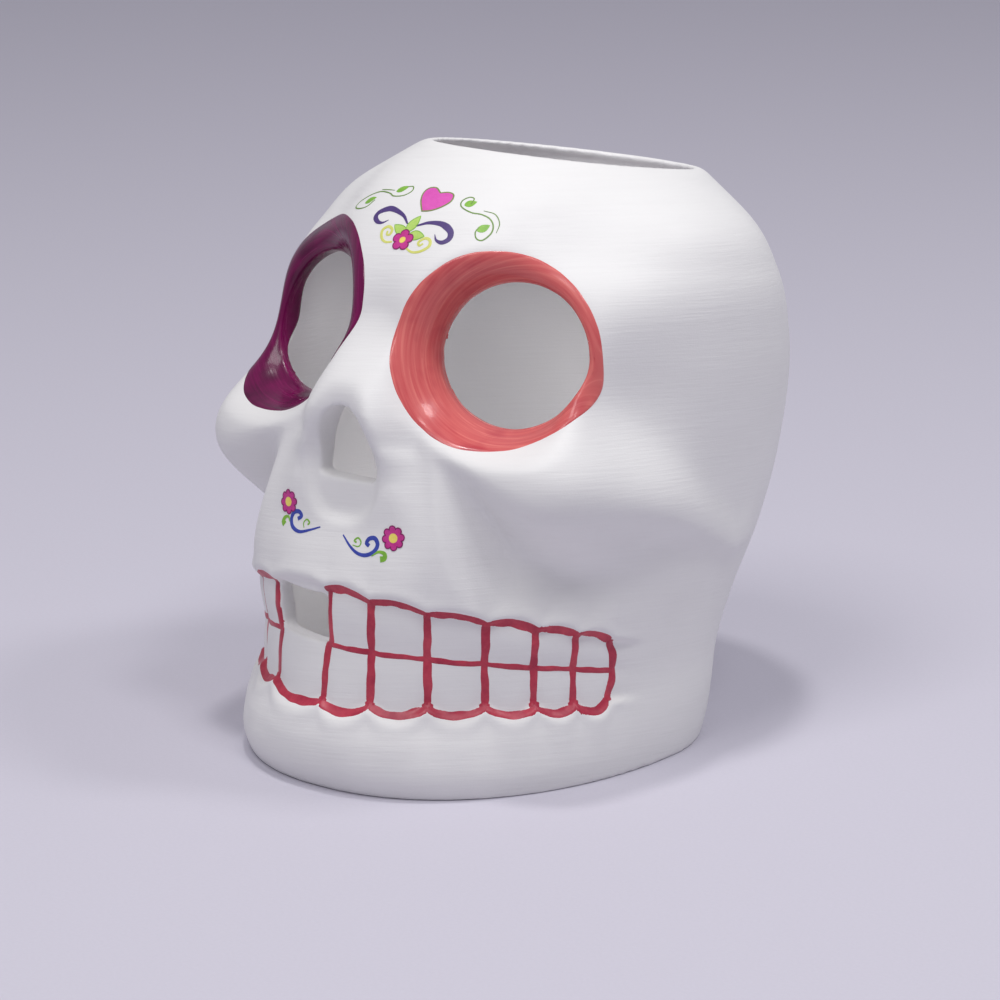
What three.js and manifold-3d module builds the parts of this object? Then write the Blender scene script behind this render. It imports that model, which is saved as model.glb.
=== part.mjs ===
// Hollow slip-cast ceramic sugar skull with a flat-cut open crown, open sockets, an open nose and one
// missing tooth. Brushed enamel, painted tooth lines and small transfers lie on the casting as thin films.
// Millimetres, face towards -Y, the skull's own left towards +X, standing on z = 0.

import * as THREE from 'three';
import { mergeVertices } from 'three/addons/utils/BufferGeometryUtils.js';
import ManifoldModule from 'manifold-3d';

const wasm = await ManifoldModule();
wasm.setup();

// Main sizes: the head's greatest width and depth, and the height of its cut crown before the cut's tilt
const WIDTH = 141;
const DEPTH = 150.5;
const HEIGHT = 160.4;

// Zones of the casting, upwards from the table
const FOOT = 0.0374 * HEIGHT;
const CHIN = 0.0873 * HEIGHT;
const LOWER_GUM = 0.1496 * HEIGHT;
const BITE = 0.2494 * HEIGHT;
const UPPER_GUM = 0.3551 * HEIGHT;
const CHEEK = 0.5486 * HEIGHT;
const SOCKET = 0.7232 * HEIGHT;
const BROW = 0.8479 * HEIGHT;
const DOME = 0.9287 * HEIGHT;
const CROWN = HEIGHT;

// Sections of the head at the zone levels. Each has its widest place behind the origin (centre), its reach to
// the face and to the back of the head as shares of the depth, half its width as a share of the width, and
// how square the face side is
const SECTIONS = [
  { level: 0, centre: 0, half: 0.4369, face: 0.5382, back: 0.3355, square: 2.15 },
  { level: FOOT, centre: 0.004, half: 0.4411, face: 0.5615, back: 0.3555, square: 2.15 },
  { level: CHIN, centre: 0.0093, half: 0.4411, face: 0.5681, back: 0.3721, square: 2.05 },
  { level: LOWER_GUM, centre: 0.0173, half: 0.4355, face: 0.5528, back: 0.3934, square: 1.92 },
  { level: BITE, centre: 0.0399, half: 0.4468, face: 0.5555, back: 0.4286, square: 1.97 },
  { level: UPPER_GUM, centre: 0.0678, half: 0.4702, face: 0.5821, back: 0.4731, square: 2.15 },
  { level: CHEEK, centre: 0.111, half: 0.4929, face: 0.5435, back: 0.4937, square: 2.75 },
  { level: SOCKET, centre: 0.1229, half: 0.5, face: 0.5183, back: 0.4817, square: 2.25 },
  { level: BROW, centre: 0.1262, half: 0.4766, face: 0.4266, back: 0.4478, square: 2 },
  { level: DOME, centre: 0.1429, half: 0.417, face: 0.3508, back: 0.392, square: 1.95 },
  { level: CROWN, centre: 0.2013, half: 0.2738, face: 0.2831, back: 0.2711, square: 2 },
];
const SECTION_UNITS = { centre: DEPTH, half: WIDTH, face: DEPTH, back: DEPTH, square: 1 };
const BACK_SQUARE = 2;

// Wall of the casting
const WALL = 6;
const RIM_WALL = 4.5;
const FLOOR = 7;
const FLOOR_FILLET = 5;
const CROWN_TILT = THREE.MathUtils.degToRad(10.5);

// Eye sockets: a round hole at the bottom of a flared dish
const EYE_SPREAD = 0.2305 * WIDTH;
const EYE_FORWARD = 0.269 * DEPTH;
const EYE_LEVEL = 0.7413 * HEIGHT;
const EYE_TURN = THREE.MathUtils.degToRad(15);
const EYE_LEAN = THREE.MathUtils.degToRad(15);
const EYE_RADIUS = 0.1454 * WIDTH;
const SOCKET_FLARE = 0.0816 * WIDTH;
const SOCKET_CURVE = 1.7;

// Nose: an arched hole in a raised collar that stands out most at its top, under a saddle between the eyes
const NOSE_HOLE_HALF = 0.068 * WIDTH;
const NOSE_HOLE_HEIGHT = 0.1277 * HEIGHT;
const NOSE_FOOT = 0.5362 * HEIGHT;
const NOSE_REACH = 0.0665 * DEPTH;
const NOSE_FOOT_SHARE = 0.3;
const COLLAR_ROUNDNESS = 2.1;
const COLLAR_INNER = 1.15;
const COLLAR_OUTER = 1.7;
const COLLAR_DROP = 5;
const SADDLE_DEPTH = 0.04 * DEPTH;
const SADDLE_LEVEL = 0.7541 * HEIGHT;
const SADDLE_HALF = 0.092 * WIDTH;
const SADDLE_RISE = 0.0938 * HEIGHT;

// Cheekbones: a knob under the eye, and an arch that runs back and down from it
const KNOB_OUT = 0.377 * WIDTH;
const KNOB_FORWARD = 0.306 * DEPTH;
const KNOB_LEVEL = 0.5486 * HEIGHT;
const KNOB_REACH = 0.0511 * WIDTH;
const KNOB_LENGTH = 0.135 * WIDTH;
const KNOB_RISE = 0.0873 * HEIGHT;
const KNOB_FALL = 0.137 * HEIGHT;
const KNOB_AXIS = new THREE.Vector2(0.7, 0.72);
const KNOB_PUSH = new THREE.Vector3(0.62, -0.78, 0.05);
const ARCH_START = -0.332 * DEPTH;
const ARCH_LENGTH = 0.465 * DEPTH;
const ARCH_DROP = 0.1845 * HEIGHT;
const ARCH_BEND = 1.4;
const ARCH_REACH = 0.039 * WIDTH;
const ARCH_THICK = 0.0748 * HEIGHT;
const ARCH_THIN = 0.0249 * HEIGHT;
const ARCH_MIDDLE_SHARE = 0.4;
const ARCH_FADE = 0.6;
const ARCH_UPPER_SLOPE = 1.8;

// Hollows beside the muzzle, the temples and the narrowing beside the forehead
const HOLLOW_DEPTH = 0.088 * DEPTH;
const HOLLOW_FLANK = 0.092 * WIDTH;
const HOLLOW_REACH = 0.184 * WIDTH;
const HOLLOW_RIM = 7.5;
const HOLLOW_RUN = 10;
const HOLLOW_SOFTENING = 0.6;
const HOLLOW_FOOT = 0.2618 * HEIGHT;
const HOLLOW_FULL = 0.4115 * HEIGHT;
const HOLLOW_TOP = 0.611 * HEIGHT;
const HOLLOW_END = 0.6983 * HEIGHT;
const HOLLOW_BEHIND = 0.08 * DEPTH;
const HOLLOW_PUSH = new THREE.Vector3(-0.2, 0.98, 0);
const MUZZLE_HALF = 0.17 * WIDTH;
const MUZZLE_TOP = 0.58 * HEIGHT;
const MUZZLE_FLARE = 0.18;
const CHEEK_LINE_FALL = 0.48;
const TEMPLE_DEPTH = 0.0468 * WIDTH;
const TEMPLE_INNER = 0.284 * WIDTH;
const TEMPLE_OUTER = 0.39 * WIDTH;
const TEMPLE_FORWARD = 0.153 * DEPTH;
const TEMPLE_LENGTH = 0.133 * DEPTH;
const TEMPLE_LEVEL = 0.6608 * HEIGHT;
const TEMPLE_RISE = 0.1247 * HEIGHT;
const NARROWING_DEPTH = 0.0355 * WIDTH;
const NARROWING_OUT = 0.326 * WIDTH;
const NARROWING_HALF = 0.142 * WIDTH;
const NARROWING_FORWARD = 0.133 * DEPTH;
const NARROWING_LENGTH = 0.16 * DEPTH;
const NARROWING_LEVEL = 0.9416 * HEIGHT;
const NARROWING_RISE = 0.0873 * HEIGHT;
const NARROWING_PUSH = new THREE.Vector3(-0.7, 0.5, -0.5);

// Teeth on the arch of the jaw, from the middle backwards, with one upper tooth missing on the right
const JAW_FORWARD = 0.186 * DEPTH;
const JAW_RADIUS = 0.3546 * WIDTH;
const TOOTH_TURNS = [16.5, 18.5, 18.5, 16, 13, 11].map(THREE.MathUtils.degToRad);
const MISSING_TOOTH_TURN = THREE.MathUtils.degToRad(22.5);
const MISSING_TOOTH_CLEAR = 2.2;
const UPPER_TOOTH = 0.0961 * HEIGHT;
const LOWER_TOOTH = 0.0911 * HEIGHT;
const BITE_FALL = 0.0587 * HEIGHT;
const BACK_TOOTH_SHARE = 0.56;
const UPPER_SCALLOP = 1.9;
const LOWER_SCALLOP = 3.4;
const TOOTH_RECESS = 1.5;

// Films on the casting
const SEAT_GAP = 0.3;
const ENAMEL_FILM = 0.6;
const LINE_FILM = 0.5;
const TRANSFER_FILM = 0.4;
const LEFT_ENAMEL_WIDTH = 7.6;
const RIGHT_ENAMEL_WIDTH = 8.4;
const ENAMEL_LIP = 0.7;
const TOOTH_LINE = 2.6;
const BITE_LINE = 1.7;

// Transfers
const HEART_HEIGHT = 8.6;
const HEART_WIDTH = 8;
const FOREHEAD_FLOWER_RADIUS = 3.1;
const LIP_FLOWER_RADIUS = 3.5;
const FLOWER_EYE_SHARE = 0.36;
const LEAF_WIDTH = 2.4;
const SCROLL_LINE = 1.5;
const VINE_LINE = 0.9;
const CURL_LINE = 1;
const CURL_RADIUS = 2.2;
const TENDRIL_RADIUS = 1.5;

// Facets
const COLUMNS = 50;
const FRONT_CROWDING = 0.24;
const INNER_ROWS = 16;
const HOLE_SIDES = 40;

// Smooth step from 0 at one value to 1 at another
function ramp(from, to, value) {
  const share = THREE.MathUtils.clamp((value - from) / (to - from), 0, 1);
  return share * share * (3 - 2 * share);
}

function swell(distance, reach) {
  return Math.exp(-((distance / reach) ** 2));
}

// Slope of one named measure at a section, from its neighbours
function slopeAt(index, name) {
  const before = SECTIONS[Math.max(index - 1, 0)];
  const here = SECTIONS[index];
  const after = SECTIONS[Math.min(index + 1, SECTIONS.length - 1)];
  const down = here.level - before.level;
  const up = after.level - here.level;
  if (down === 0) return (after[name] - here[name]) / up;
  if (up === 0) return (here[name] - before[name]) / down;
  const lower = (here[name] - before[name]) / down;
  const upper = (after[name] - here[name]) / up;
  return (lower * up + upper * down) / (up + down);
}

// One named measure of the head at any level, by a smooth curve through the sections
function measureAt(level, name) {
  let index = 0;
  while (index < SECTIONS.length - 2 && SECTIONS[index + 1].level < level) index += 1;
  const low = SECTIONS[index];
  const high = SECTIONS[index + 1];
  const span = high.level - low.level;
  const t = THREE.MathUtils.clamp((level - low.level) / span, 0, 1);
  const a = 2 * t ** 3 - 3 * t ** 2 + 1;
  const b = t ** 3 - 2 * t ** 2 + t;
  const c = 3 * t ** 2 - 2 * t ** 3;
  const d = t ** 3 - t ** 2;
  const ends = a * low[name] + c * high[name];
  const bends = span * (b * slopeAt(index, name) + d * slopeAt(index + 1, name));
  return SECTION_UNITS[name] * (ends + bends);
}

// Plain head without features. Turn is 0 at the face and grows towards +X; inset draws the section in
function plainHead(turn, level, inset = 0) {
  const towardsFace = Math.cos(turn);
  const half = measureAt(level, 'half') - inset;
  const reach = measureAt(level, towardsFace > 0 ? 'face' : 'back') - inset;
  const power = towardsFace > 0 ? measureAt(level, 'square') : BACK_SQUARE;
  const across = (Math.abs(Math.sin(turn)) / half) ** power;
  const along = (Math.abs(towardsFace) / reach) ** power;
  const radius = (across + along) ** (-1 / power);
  const tilt = Math.tan(CROWN_TILT) * ramp(UPPER_GUM, CROWN, level);
  const y = measureAt(level, 'centre') - radius * towardsFace;
  return new THREE.Vector3(radius * Math.sin(turn), y, level + tilt * radius * towardsFace);
}

// Outward direction of a surface given as a function of turn and level
function outward(surface, turn, level) {
  const step = 0.01;
  const rise = 0.4;
  const low = Math.max(level - rise, 0);
  const high = Math.min(level + rise, CROWN);
  const around = surface(turn + step, level).sub(surface(turn - step, level));
  const upward = surface(turn, high).sub(surface(turn, low));
  return around.cross(upward).normalize();
}

const SOCKET_RADIUS = EYE_RADIUS + SOCKET_FLARE;

// Middle of an eye hole with the axes across, up and out of it; side is 1 for the skull's left eye
function eyeFrame(side) {
  const origin = new THREE.Vector3(side * EYE_SPREAD, -EYE_FORWARD, EYE_LEVEL);
  const out = new THREE.Vector3(side * Math.sin(EYE_TURN), -Math.cos(EYE_TURN), 0);
  out.multiplyScalar(Math.cos(EYE_LEAN)).setZ(Math.sin(EYE_LEAN));
  const across = new THREE.Vector3(0, 0, 1).cross(out).normalize();
  const up = out.clone().cross(across);
  return { origin, across, up, out };
}

const LEFT_EYE = eyeFrame(1);
const RIGHT_EYE = eyeFrame(-1);

// Flared dish that sinks to the flat circle of the eye hole
function socketDish(point) {
  const frame = LEFT_EYE;
  const offset = point.clone().sub(frame.origin);
  const radius = Math.hypot(offset.dot(frame.across), offset.dot(frame.up));
  const sunk = THREE.MathUtils.clamp((SOCKET_RADIUS - radius) / SOCKET_FLARE, 0, 1) ** SOCKET_CURVE;
  const onFace = ramp(EYE_FORWARD, 0, point.y);
  return frame.out.clone().multiplyScalar(-offset.dot(frame.out) * sunk * onFace);
}

// Raised collar round the nose hole and the saddle above it
function nose(point, depth) {
  const up = Math.max(point.z - NOSE_FOOT, 0) / NOSE_HOLE_HEIGHT;
  const across = point.x / NOSE_HOLE_HALF;
  const ring = (across ** COLLAR_ROUNDNESS + up ** COLLAR_ROUNDNESS) ** (1 / COLLAR_ROUNDNESS);
  const collar = 1 - ramp(COLLAR_INNER, COLLAR_OUTER, ring + depth / NOSE_HOLE_HALF);
  const share = NOSE_FOOT_SHARE + (1 - NOSE_FOOT_SHARE) * ramp(0, 1, up);
  const stand = NOSE_REACH * share * ramp(NOSE_FOOT - COLLAR_DROP, NOSE_FOOT + 1, point.z);
  const dip = swell(point.x, SADDLE_HALF + depth) * swell(point.z - SADDLE_LEVEL, SADDLE_RISE + depth);
  const onFront = ramp(0, -EYE_FORWARD, point.y);
  return new THREE.Vector3(0, (SADDLE_DEPTH * dip - stand * collar) * onFront, 0);
}

function cheekbone(point, depth) {
  const along = KNOB_AXIS.dot(new THREE.Vector2(point.x - KNOB_OUT, point.y + KNOB_FORWARD));
  const height = point.z - KNOB_LEVEL;
  const onFront = ramp(KNOB_LENGTH, -KNOB_LENGTH, point.y);
  const knob = swell(along, KNOB_LENGTH) * swell(height, height > 0 ? KNOB_RISE : KNOB_FALL) * onFront;
  const push = KNOB_PUSH.clone().multiplyScalar(KNOB_REACH * knob);
  const back = THREE.MathUtils.clamp((point.y - ARCH_START) / ARCH_LENGTH, 0, 1);
  const thick = THREE.MathUtils.lerp(ARCH_THICK, ARCH_THIN, back) + depth;
  const gap = point.z - CHEEK + ARCH_DROP * back ** ARCH_BEND;
  const ridge = swell(gap, gap > 0 ? ARCH_UPPER_SLOPE * thick : thick);
  const middle = ARCH_START + ARCH_MIDDLE_SHARE * ARCH_LENGTH;
  const end = ARCH_START + ARCH_LENGTH;
  const rising = ramp(2 * ARCH_START - middle, middle, point.y);
  const falling = 1 - ARCH_FADE * ramp(middle, end, point.y);
  const stop = ramp(end + 2 * ARCH_THICK, end, point.y);
  push.x += (ARCH_REACH * ridge * rising * falling * stop * WALL) / (WALL + depth);
  return push;
}

// Deep hollow beside the muzzle, under the eye and the cheekbone
function cheekHollow(point, depth) {
  const offset = point.clone().sub(LEFT_EYE.origin);
  const fromEye = Math.hypot(offset.dot(LEFT_EYE.across), offset.dot(LEFT_EYE.up));
  const rim = EYE_RADIUS + LEFT_ENAMEL_WIDTH + SEAT_GAP;
  const cheekLine = SADDLE_LEVEL - EYE_RADIUS - CHEEK_LINE_FALL * (point.x - 2 * NOSE_HOLE_HALF);
  const run = HOLLOW_RUN + HOLLOW_SOFTENING * Math.max(point.x - MUZZLE_HALF, 0);
  const below = ramp(rim - depth, rim + HOLLOW_RIM, fromEye) * ramp(-depth, run, cheekLine - point.z);
  const muzzle = MUZZLE_HALF + MUZZLE_FLARE * Math.max(MUZZLE_TOP - point.z, 0);
  const flank = ramp(0, HOLLOW_FLANK + depth, point.x - muzzle + depth);
  const beyond = swell(Math.max(point.x - muzzle - HOLLOW_FLANK, 0), HOLLOW_REACH);
  const onFront = ramp(HOLLOW_BEHIND, -EYE_FORWARD, point.y);
  const fade = ramp(HOLLOW_FOOT - depth, HOLLOW_FULL, point.z) * ramp(HOLLOW_END, HOLLOW_TOP, point.z);
  return HOLLOW_PUSH.clone().multiplyScalar(HOLLOW_DEPTH * below * flank * beyond * onFront * fade);
}

function temple(point) {
  const forward = swell(point.y + TEMPLE_FORWARD, TEMPLE_LENGTH);
  const upward = swell(point.z - TEMPLE_LEVEL, TEMPLE_RISE);
  const outside = ramp(TEMPLE_INNER, TEMPLE_OUTER, point.x);
  return new THREE.Vector3(-TEMPLE_DEPTH * forward * upward * outside, 0, 0);
}

function foreheadSide(point) {
  const outside = swell(point.x - NARROWING_OUT, NARROWING_HALF);
  const forward = swell(point.y + NARROWING_FORWARD, NARROWING_LENGTH);
  const upward = swell(point.z - NARROWING_LEVEL, NARROWING_RISE);
  return NARROWING_PUSH.clone().multiplyScalar(NARROWING_DEPTH * outside * forward * upward);
}

// Edges of the teeth round the arch, as turns from the middle of the jaw
function toothEdges(firstTurn) {
  const edges = [0, firstTurn];
  for (const turn of TOOTH_TURNS.slice(1)) edges.push(edges[edges.length - 1] + turn);
  return edges;
}

const TEETH_PER_SIDE = TOOTH_TURNS.length;
const LEFT_EDGES = toothEdges(TOOTH_TURNS[0]);
const RIGHT_EDGES = toothEdges(MISSING_TOOTH_TURN);
const ARCH_END = LEFT_EDGES[TEETH_PER_SIDE];

function archTurn(point) {
  return Math.atan2(point.x, -JAW_FORWARD - point.y);
}

function backShare(turn) {
  return Math.min(Math.abs(turn) / ARCH_END, 1.2);
}

function biteLine(turn) {
  return BITE - BITE_FALL * backShare(turn) ** 2;
}

function upperLine(turn) {
  return biteLine(turn) + UPPER_TOOTH * (1 - (1 - BACK_TOOTH_SHARE) * backShare(turn));
}

function lowerLine(turn) {
  return biteLine(turn) - LOWER_TOOTH * (1 - (1 - BACK_TOOTH_SHARE) * backShare(turn));
}

// Each row of teeth is set back from the gum, and swells between its gum and the bite
function toothRelief(point) {
  const turn = archTurn(point);
  const above = (point.z - biteLine(turn)) / (upperLine(turn) - biteLine(turn));
  const below = (biteLine(turn) - point.z) / (biteLine(turn) - lowerLine(turn));
  const share = Math.max(above, below);
  const inRow = ramp(1.25, 1, share) * ramp(ARCH_END * 1.12, ARCH_END, Math.abs(turn));
  const crown = Math.sin(Math.PI * Math.min(Math.max(share, 0), 1));
  const push = -TOOTH_RECESS * inRow * (1 - 0.9 * crown);
  return new THREE.Vector3(Math.sin(turn), -Math.cos(turn), 0).multiplyScalar(push);
}

// Sculpted face of the casting; depth is 0 on the outside and the wall on the softer inside
function skinFrom(base, depth) {
  const side = base.x < 0 ? -1 : 1;
  const point = base.clone().setX(Math.abs(base.x));
  const pushes = [socketDish, nose, cheekbone, cheekHollow, temple, foreheadSide];
  const moved = point.clone();
  for (const push of pushes) moved.add(push(point, depth));
  if (depth === 0) moved.add(toothRelief(point));
  return moved.setX(side * Math.max(moved.x, 0));
}

function outerSkin(turn, level) {
  return skinFrom(plainHead(turn, level), 0);
}

function innerSkin(turn, level) {
  const base = plainHead(turn, level);
  const drawnIn = outward(plainHead, turn, level).multiplyScalar(-WALL);
  return skinFrom(base, WALL).add(drawnIn);
}

// Columns of facets, crowded towards the face
const TURNS = [];
for (let column = 0; column < COLUMNS; column++) {
  const share = column / COLUMNS;
  TURNS.push(2 * Math.PI * share - FRONT_CROWDING * Math.sin(2 * Math.PI * share) * 2);
}

// Rows of facets between two levels, about evenly spaced
function rowsBetween(low, high, count) {
  return Array.from({ length: count }, (_, row) => low + ((high - low) * row) / count);
}

const LEVELS = [
  ...rowsBetween(0, FOOT, 2),
  ...rowsBetween(FOOT, LOWER_GUM, 4),
  ...rowsBetween(LOWER_GUM, BITE, 3),
  ...rowsBetween(BITE, UPPER_GUM, 4),
  ...rowsBetween(UPPER_GUM, CHEEK, 6),
  ...rowsBetween(CHEEK, BROW, 13),
  ...rowsBetween(BROW, DOME, 3),
  ...rowsBetween(DOME, CROWN, 3),
  CROWN,
];

const OUTER = LEVELS.map((level) => TURNS.map((turn) => outerSkin(turn, level)));
const OUTER_NORMALS = LEVELS.map((level) => TURNS.map((turn) => outward(outerSkin, turn, level)));

// Rows of the inside, from the rim down to the floor
function innerRows() {
  const rows = [TURNS.map((turn) => plainHead(turn, CROWN, RIM_WALL))];
  const lowest = FLOOR + FLOOR_FILLET;
  for (let row = 1; row <= INNER_ROWS; row++) {
    const level = CROWN - 3 - ((CROWN - 3 - lowest) * (row - 1)) / (INNER_ROWS - 1);
    rows.push(TURNS.map((turn) => innerSkin(turn, level)));
  }
  rows.push(TURNS.map((turn) => plainHead(turn, lowest, WALL + FLOOR_FILLET).setZ(FLOOR)));
  return rows;
}

// Closed mesh through rings of points, capped by a fan at both ends. Each quad is split along its shorter
// diagonal, measured on the pattern rings
function closedRings(rings, firstCap, lastCap, pattern = rings) {
  const positions = [];
  const triangles = [];
  const width = rings[0].length;
  for (const ring of rings) ring.forEach((point) => positions.push(...point.toArray()));
  positions.push(...firstCap.toArray(), ...lastCap.toArray());
  const first = rings.length * width;
  const last = first + 1;
  const final = (rings.length - 1) * width;
  for (let column = 0; column < width; column++) {
    const next = (column + 1) % width;
    triangles.push(first, next, column, last, final + column, final + next);
    for (let row = 0; row + 1 < rings.length; row++) {
      const [a, b] = [row * width + column, row * width + next];
      const [c, d] = [b + width, a + width];
      const rising = pattern[row][column].distanceTo(pattern[row + 1][next]);
      const falling = pattern[row][next].distanceTo(pattern[row + 1][column]);
      if (rising < falling) triangles.push(a, b, c, a, c, d);
      else triangles.push(a, b, d, b, c, d);
    }
  }
  const geometry = new THREE.BufferGeometry();
  geometry.setAttribute('position', new THREE.Float32BufferAttribute(positions, 3));
  geometry.setIndex(triangles);
  return geometry;
}

function solid(geometry) {
  const bare = geometry.clone();
  bare.deleteAttribute('normal');
  bare.deleteAttribute('uv');
  const merged = mergeVertices(bare, 1e-5);
  const vertProperties = new Float32Array(merged.attributes.position.array);
  const triVerts = new Uint32Array(merged.index.array);
  return new wasm.Manifold(new wasm.Mesh({ numProp: 3, vertProperties, triVerts }));
}

function geometryOf(manifold) {
  const mesh = manifold.getMesh();
  const geometry = new THREE.BufferGeometry();
  geometry.setAttribute('position', new THREE.Float32BufferAttribute(mesh.vertProperties, 3));
  geometry.setIndex(Array.from(mesh.triVerts));
  geometry.computeVertexNormals();
  return geometry;
}

// Round plug through the wall along an eye's axis
function eyePlug(frame) {
  const reach = 2 * SOCKET_RADIUS;
  const plug = new THREE.CylinderGeometry(EYE_RADIUS, EYE_RADIUS, reach, HOLE_SIDES);
  const axes = new THREE.Matrix4().makeBasis(frame.across, frame.out, frame.up.clone().negate());
  return solid(plug.applyMatrix4(axes.setPosition(frame.origin)));
}

// Arched plug through the nose, along Y
function nosePlug() {
  const corner = NOSE_HOLE_HALF / 4;
  const half = NOSE_HOLE_HALF;
  const top = NOSE_HOLE_HEIGHT;
  const shoulder = 0.62 * top;
  const outline = new THREE.Shape();
  outline.moveTo(-half + corner, 0);
  outline.lineTo(half - corner, 0);
  outline.quadraticCurveTo(half, 0, half, corner);
  outline.bezierCurveTo(half, shoulder, 0.55 * half, top, 0, top);
  outline.bezierCurveTo(-0.55 * half, top, -half, shoulder, -half, corner);
  outline.quadraticCurveTo(-half, 0, -half + corner, 0);
  const reach = 3 * EYE_FORWARD;
  const plug = new THREE.ExtrudeGeometry(outline, { depth: reach, bevelEnabled: false, curveSegments: 5 });
  plug.rotateX(Math.PI / 2);
  plug.translate(0, -EYE_FORWARD / 2, NOSE_FOOT);
  return solid(plug);
}

// Plug that leaves the gap of the missing upper tooth, along the middle of that tooth
function toothPlug() {
  const middle = -MISSING_TOOTH_TURN / 2;
  const width = JAW_RADIUS * MISSING_TOOTH_TURN - MISSING_TOOTH_CLEAR;
  const height = upperLine(middle) - biteLine(middle) - MISSING_TOOTH_CLEAR / 2;
  const plug = new THREE.BoxGeometry(width, 2 * JAW_RADIUS, height);
  plug.translate(0, -JAW_RADIUS, biteLine(middle) + height / 2 + MISSING_TOOTH_CLEAR / 2);
  plug.rotateZ(middle);
  plug.translate(0, -JAW_FORWARD, 0);
  return solid(plug);
}

function skullShell() {
  const rings = [...OUTER, ...innerRows()];
  const under = new THREE.Vector3(0, 0, 0);
  const within = new THREE.Vector3(0, 0, FLOOR);
  let body = solid(closedRings(rings, under, within));
  for (const plug of [eyePlug(LEFT_EYE), eyePlug(RIGHT_EYE), nosePlug(), toothPlug()]) {
    body = body.subtract(plug);
  }
  return geometryOf(body);
}

// Casting without its cavity, swollen by a lift
function swollen(lift) {
  const rings = OUTER.map((ring, row) => ring.map((point, column) => {
    return point.clone().addScaledVector(OUTER_NORMALS[row][column], lift);
  }));
  const under = new THREE.Vector3(0, 0, 0);
  const over = plainHead(0, CROWN).setX(0).lerp(plainHead(Math.PI, CROWN), 0.5);
  return solid(closedRings(rings, under, over, OUTER));
}

// Coat of a thickness all over the casting, off which the films are cut
function coat(thickness) {
  return swollen(SEAT_GAP + thickness).subtract(swollen(SEAT_GAP));
}

const ENAMEL_COAT = coat(ENAMEL_FILM);
const LINE_COAT = coat(LINE_FILM);
const TRANSFER_COAT = coat(TRANSFER_FILM);

function film(whole, cutter) {
  return geometryOf(whole.intersect(cutter));
}

// Closed prism over a flat figure. The lay function gives each flat corner its inner and its outer point
function prism(corners, triangles, lay) {
  const pairs = corners.map(lay);
  const positions = [...pairs.map(([inner]) => inner), ...pairs.map(([, outer]) => outer)];
  const count = corners.length;
  const edges = new Set();
  const faces = [];
  const areaOf = ([p, q, r]) => (q[0] - p[0]) * (r[1] - p[1]) - (q[1] - p[1]) * (r[0] - p[0]);
  let area = 0;
  for (const triangle of triangles) area += areaOf(triangle.map((index) => corners[index]));
  for (const [a, b, c] of triangles) {
    const [first, second, third] = area > 0 ? [a, b, c] : [a, c, b];
    faces.push(first + count, second + count, third + count, first, third, second);
    for (const edge of [[first, second], [second, third], [third, first]]) edges.add(edge.join(' '));
  }
  for (const edge of edges) {
    const [a, b] = edge.split(' ').map(Number);
    if (edges.has(`${b} ${a}`)) continue;
    faces.push(a, b, b + count, a, b + count, a + count);
  }
  const geometry = new THREE.BufferGeometry().setFromPoints(positions);
  geometry.setIndex(faces);
  return solid(geometry);
}

// Brush stroke along flat points, with a width at each of them
function stroke(points, widthAt, lay) {
  const right = [];
  const left = [];
  const triangles = [];
  points.forEach((point, index) => {
    const before = points[Math.max(index - 1, 0)];
    const after = points[Math.min(index + 1, points.length - 1)];
    const along = new THREE.Vector2(after[0] - before[0], after[1] - before[1]).normalize();
    const half = widthAt(index / (points.length - 1)) / 2;
    right.push([point[0] + along.y * half, point[1] - along.x * half]);
    left.push([point[0] - along.y * half, point[1] + along.x * half]);
    const other = index + points.length;
    if (index > 0) triangles.push([index - 1, index, other], [index - 1, other, other - 1]);
  });
  return prism([...right, ...left], triangles, lay);
}

// Filled flat outline
function patch(outline, lay, segments = 3) {
  const geometry = new THREE.ShapeGeometry(outline, segments);
  const position = geometry.attributes.position;
  const corners = Array.from({ length: position.count }, (_, i) => [position.getX(i), position.getY(i)]);
  const triangles = [];
  for (let i = 0; i < geometry.index.count; i += 3) {
    triangles.push([0, 1, 2].map((corner) => geometry.index.getX(i + corner)));
  }
  return prism(corners, triangles, lay);
}

// Lay function for a figure that faces out of a frame and reaches some way to both sides of its origin
function facing({ origin, across, up, out }, reach) {
  return ([a, b]) => [-reach, reach].map((depth) => {
    return origin.clone().addScaledVector(across, a).addScaledVector(up, b).addScaledVector(out, depth);
  });
}

// Brushed enamel round an eye hole, with the uneven outer edge of a hand-held brush
function eyeEnamel(frame, width, unevenness) {
  const around = 36;
  const outline = new THREE.Shape();
  outline.setFromPoints(Array.from({ length: around }, (_, step) => {
    const angle = (2 * Math.PI * step) / around;
    const radius = EYE_RADIUS + width + unevenness(angle);
    return new THREE.Vector2(radius * Math.cos(angle), radius * Math.sin(angle));
  }));
  const hole = new THREE.Path().absarc(0, 0, EYE_RADIUS + ENAMEL_LIP, 0, 2 * Math.PI);
  outline.holes.push(hole);
  return film(ENAMEL_COAT, patch(outline, facing(frame, SOCKET_RADIUS), around / 4));
}

// Lay function for the jaw: a flat corner is an arc length and a height, and the prism runs outwards
function onJaw([length, height]) {
  const turn = length / JAW_RADIUS;
  const outwards = new THREE.Vector3(Math.sin(turn), -Math.cos(turn), 0);
  const middle = new THREE.Vector3(0, -JAW_FORWARD, height);
  return [0.5, 1.7].map((share) => middle.clone().addScaledVector(outwards, share * JAW_RADIUS));
}

// One scallop over or under a tooth, from edge to edge
function scallop(from, to, line, rise, steps = 4) {
  return Array.from({ length: steps + 1 }, (_, step) => {
    const turn = from + ((to - from) * step) / steps;
    const bulge = Math.sin((Math.PI * step) / steps) ** 0.7;
    return [JAW_RADIUS * turn, line(turn) + rise * bulge];
  });
}

// Straight line along a tooth's edge
function edgeLine(turn, low, high) {
  return [[JAW_RADIUS * turn, low], [JAW_RADIUS * turn, high]];
}

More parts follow.
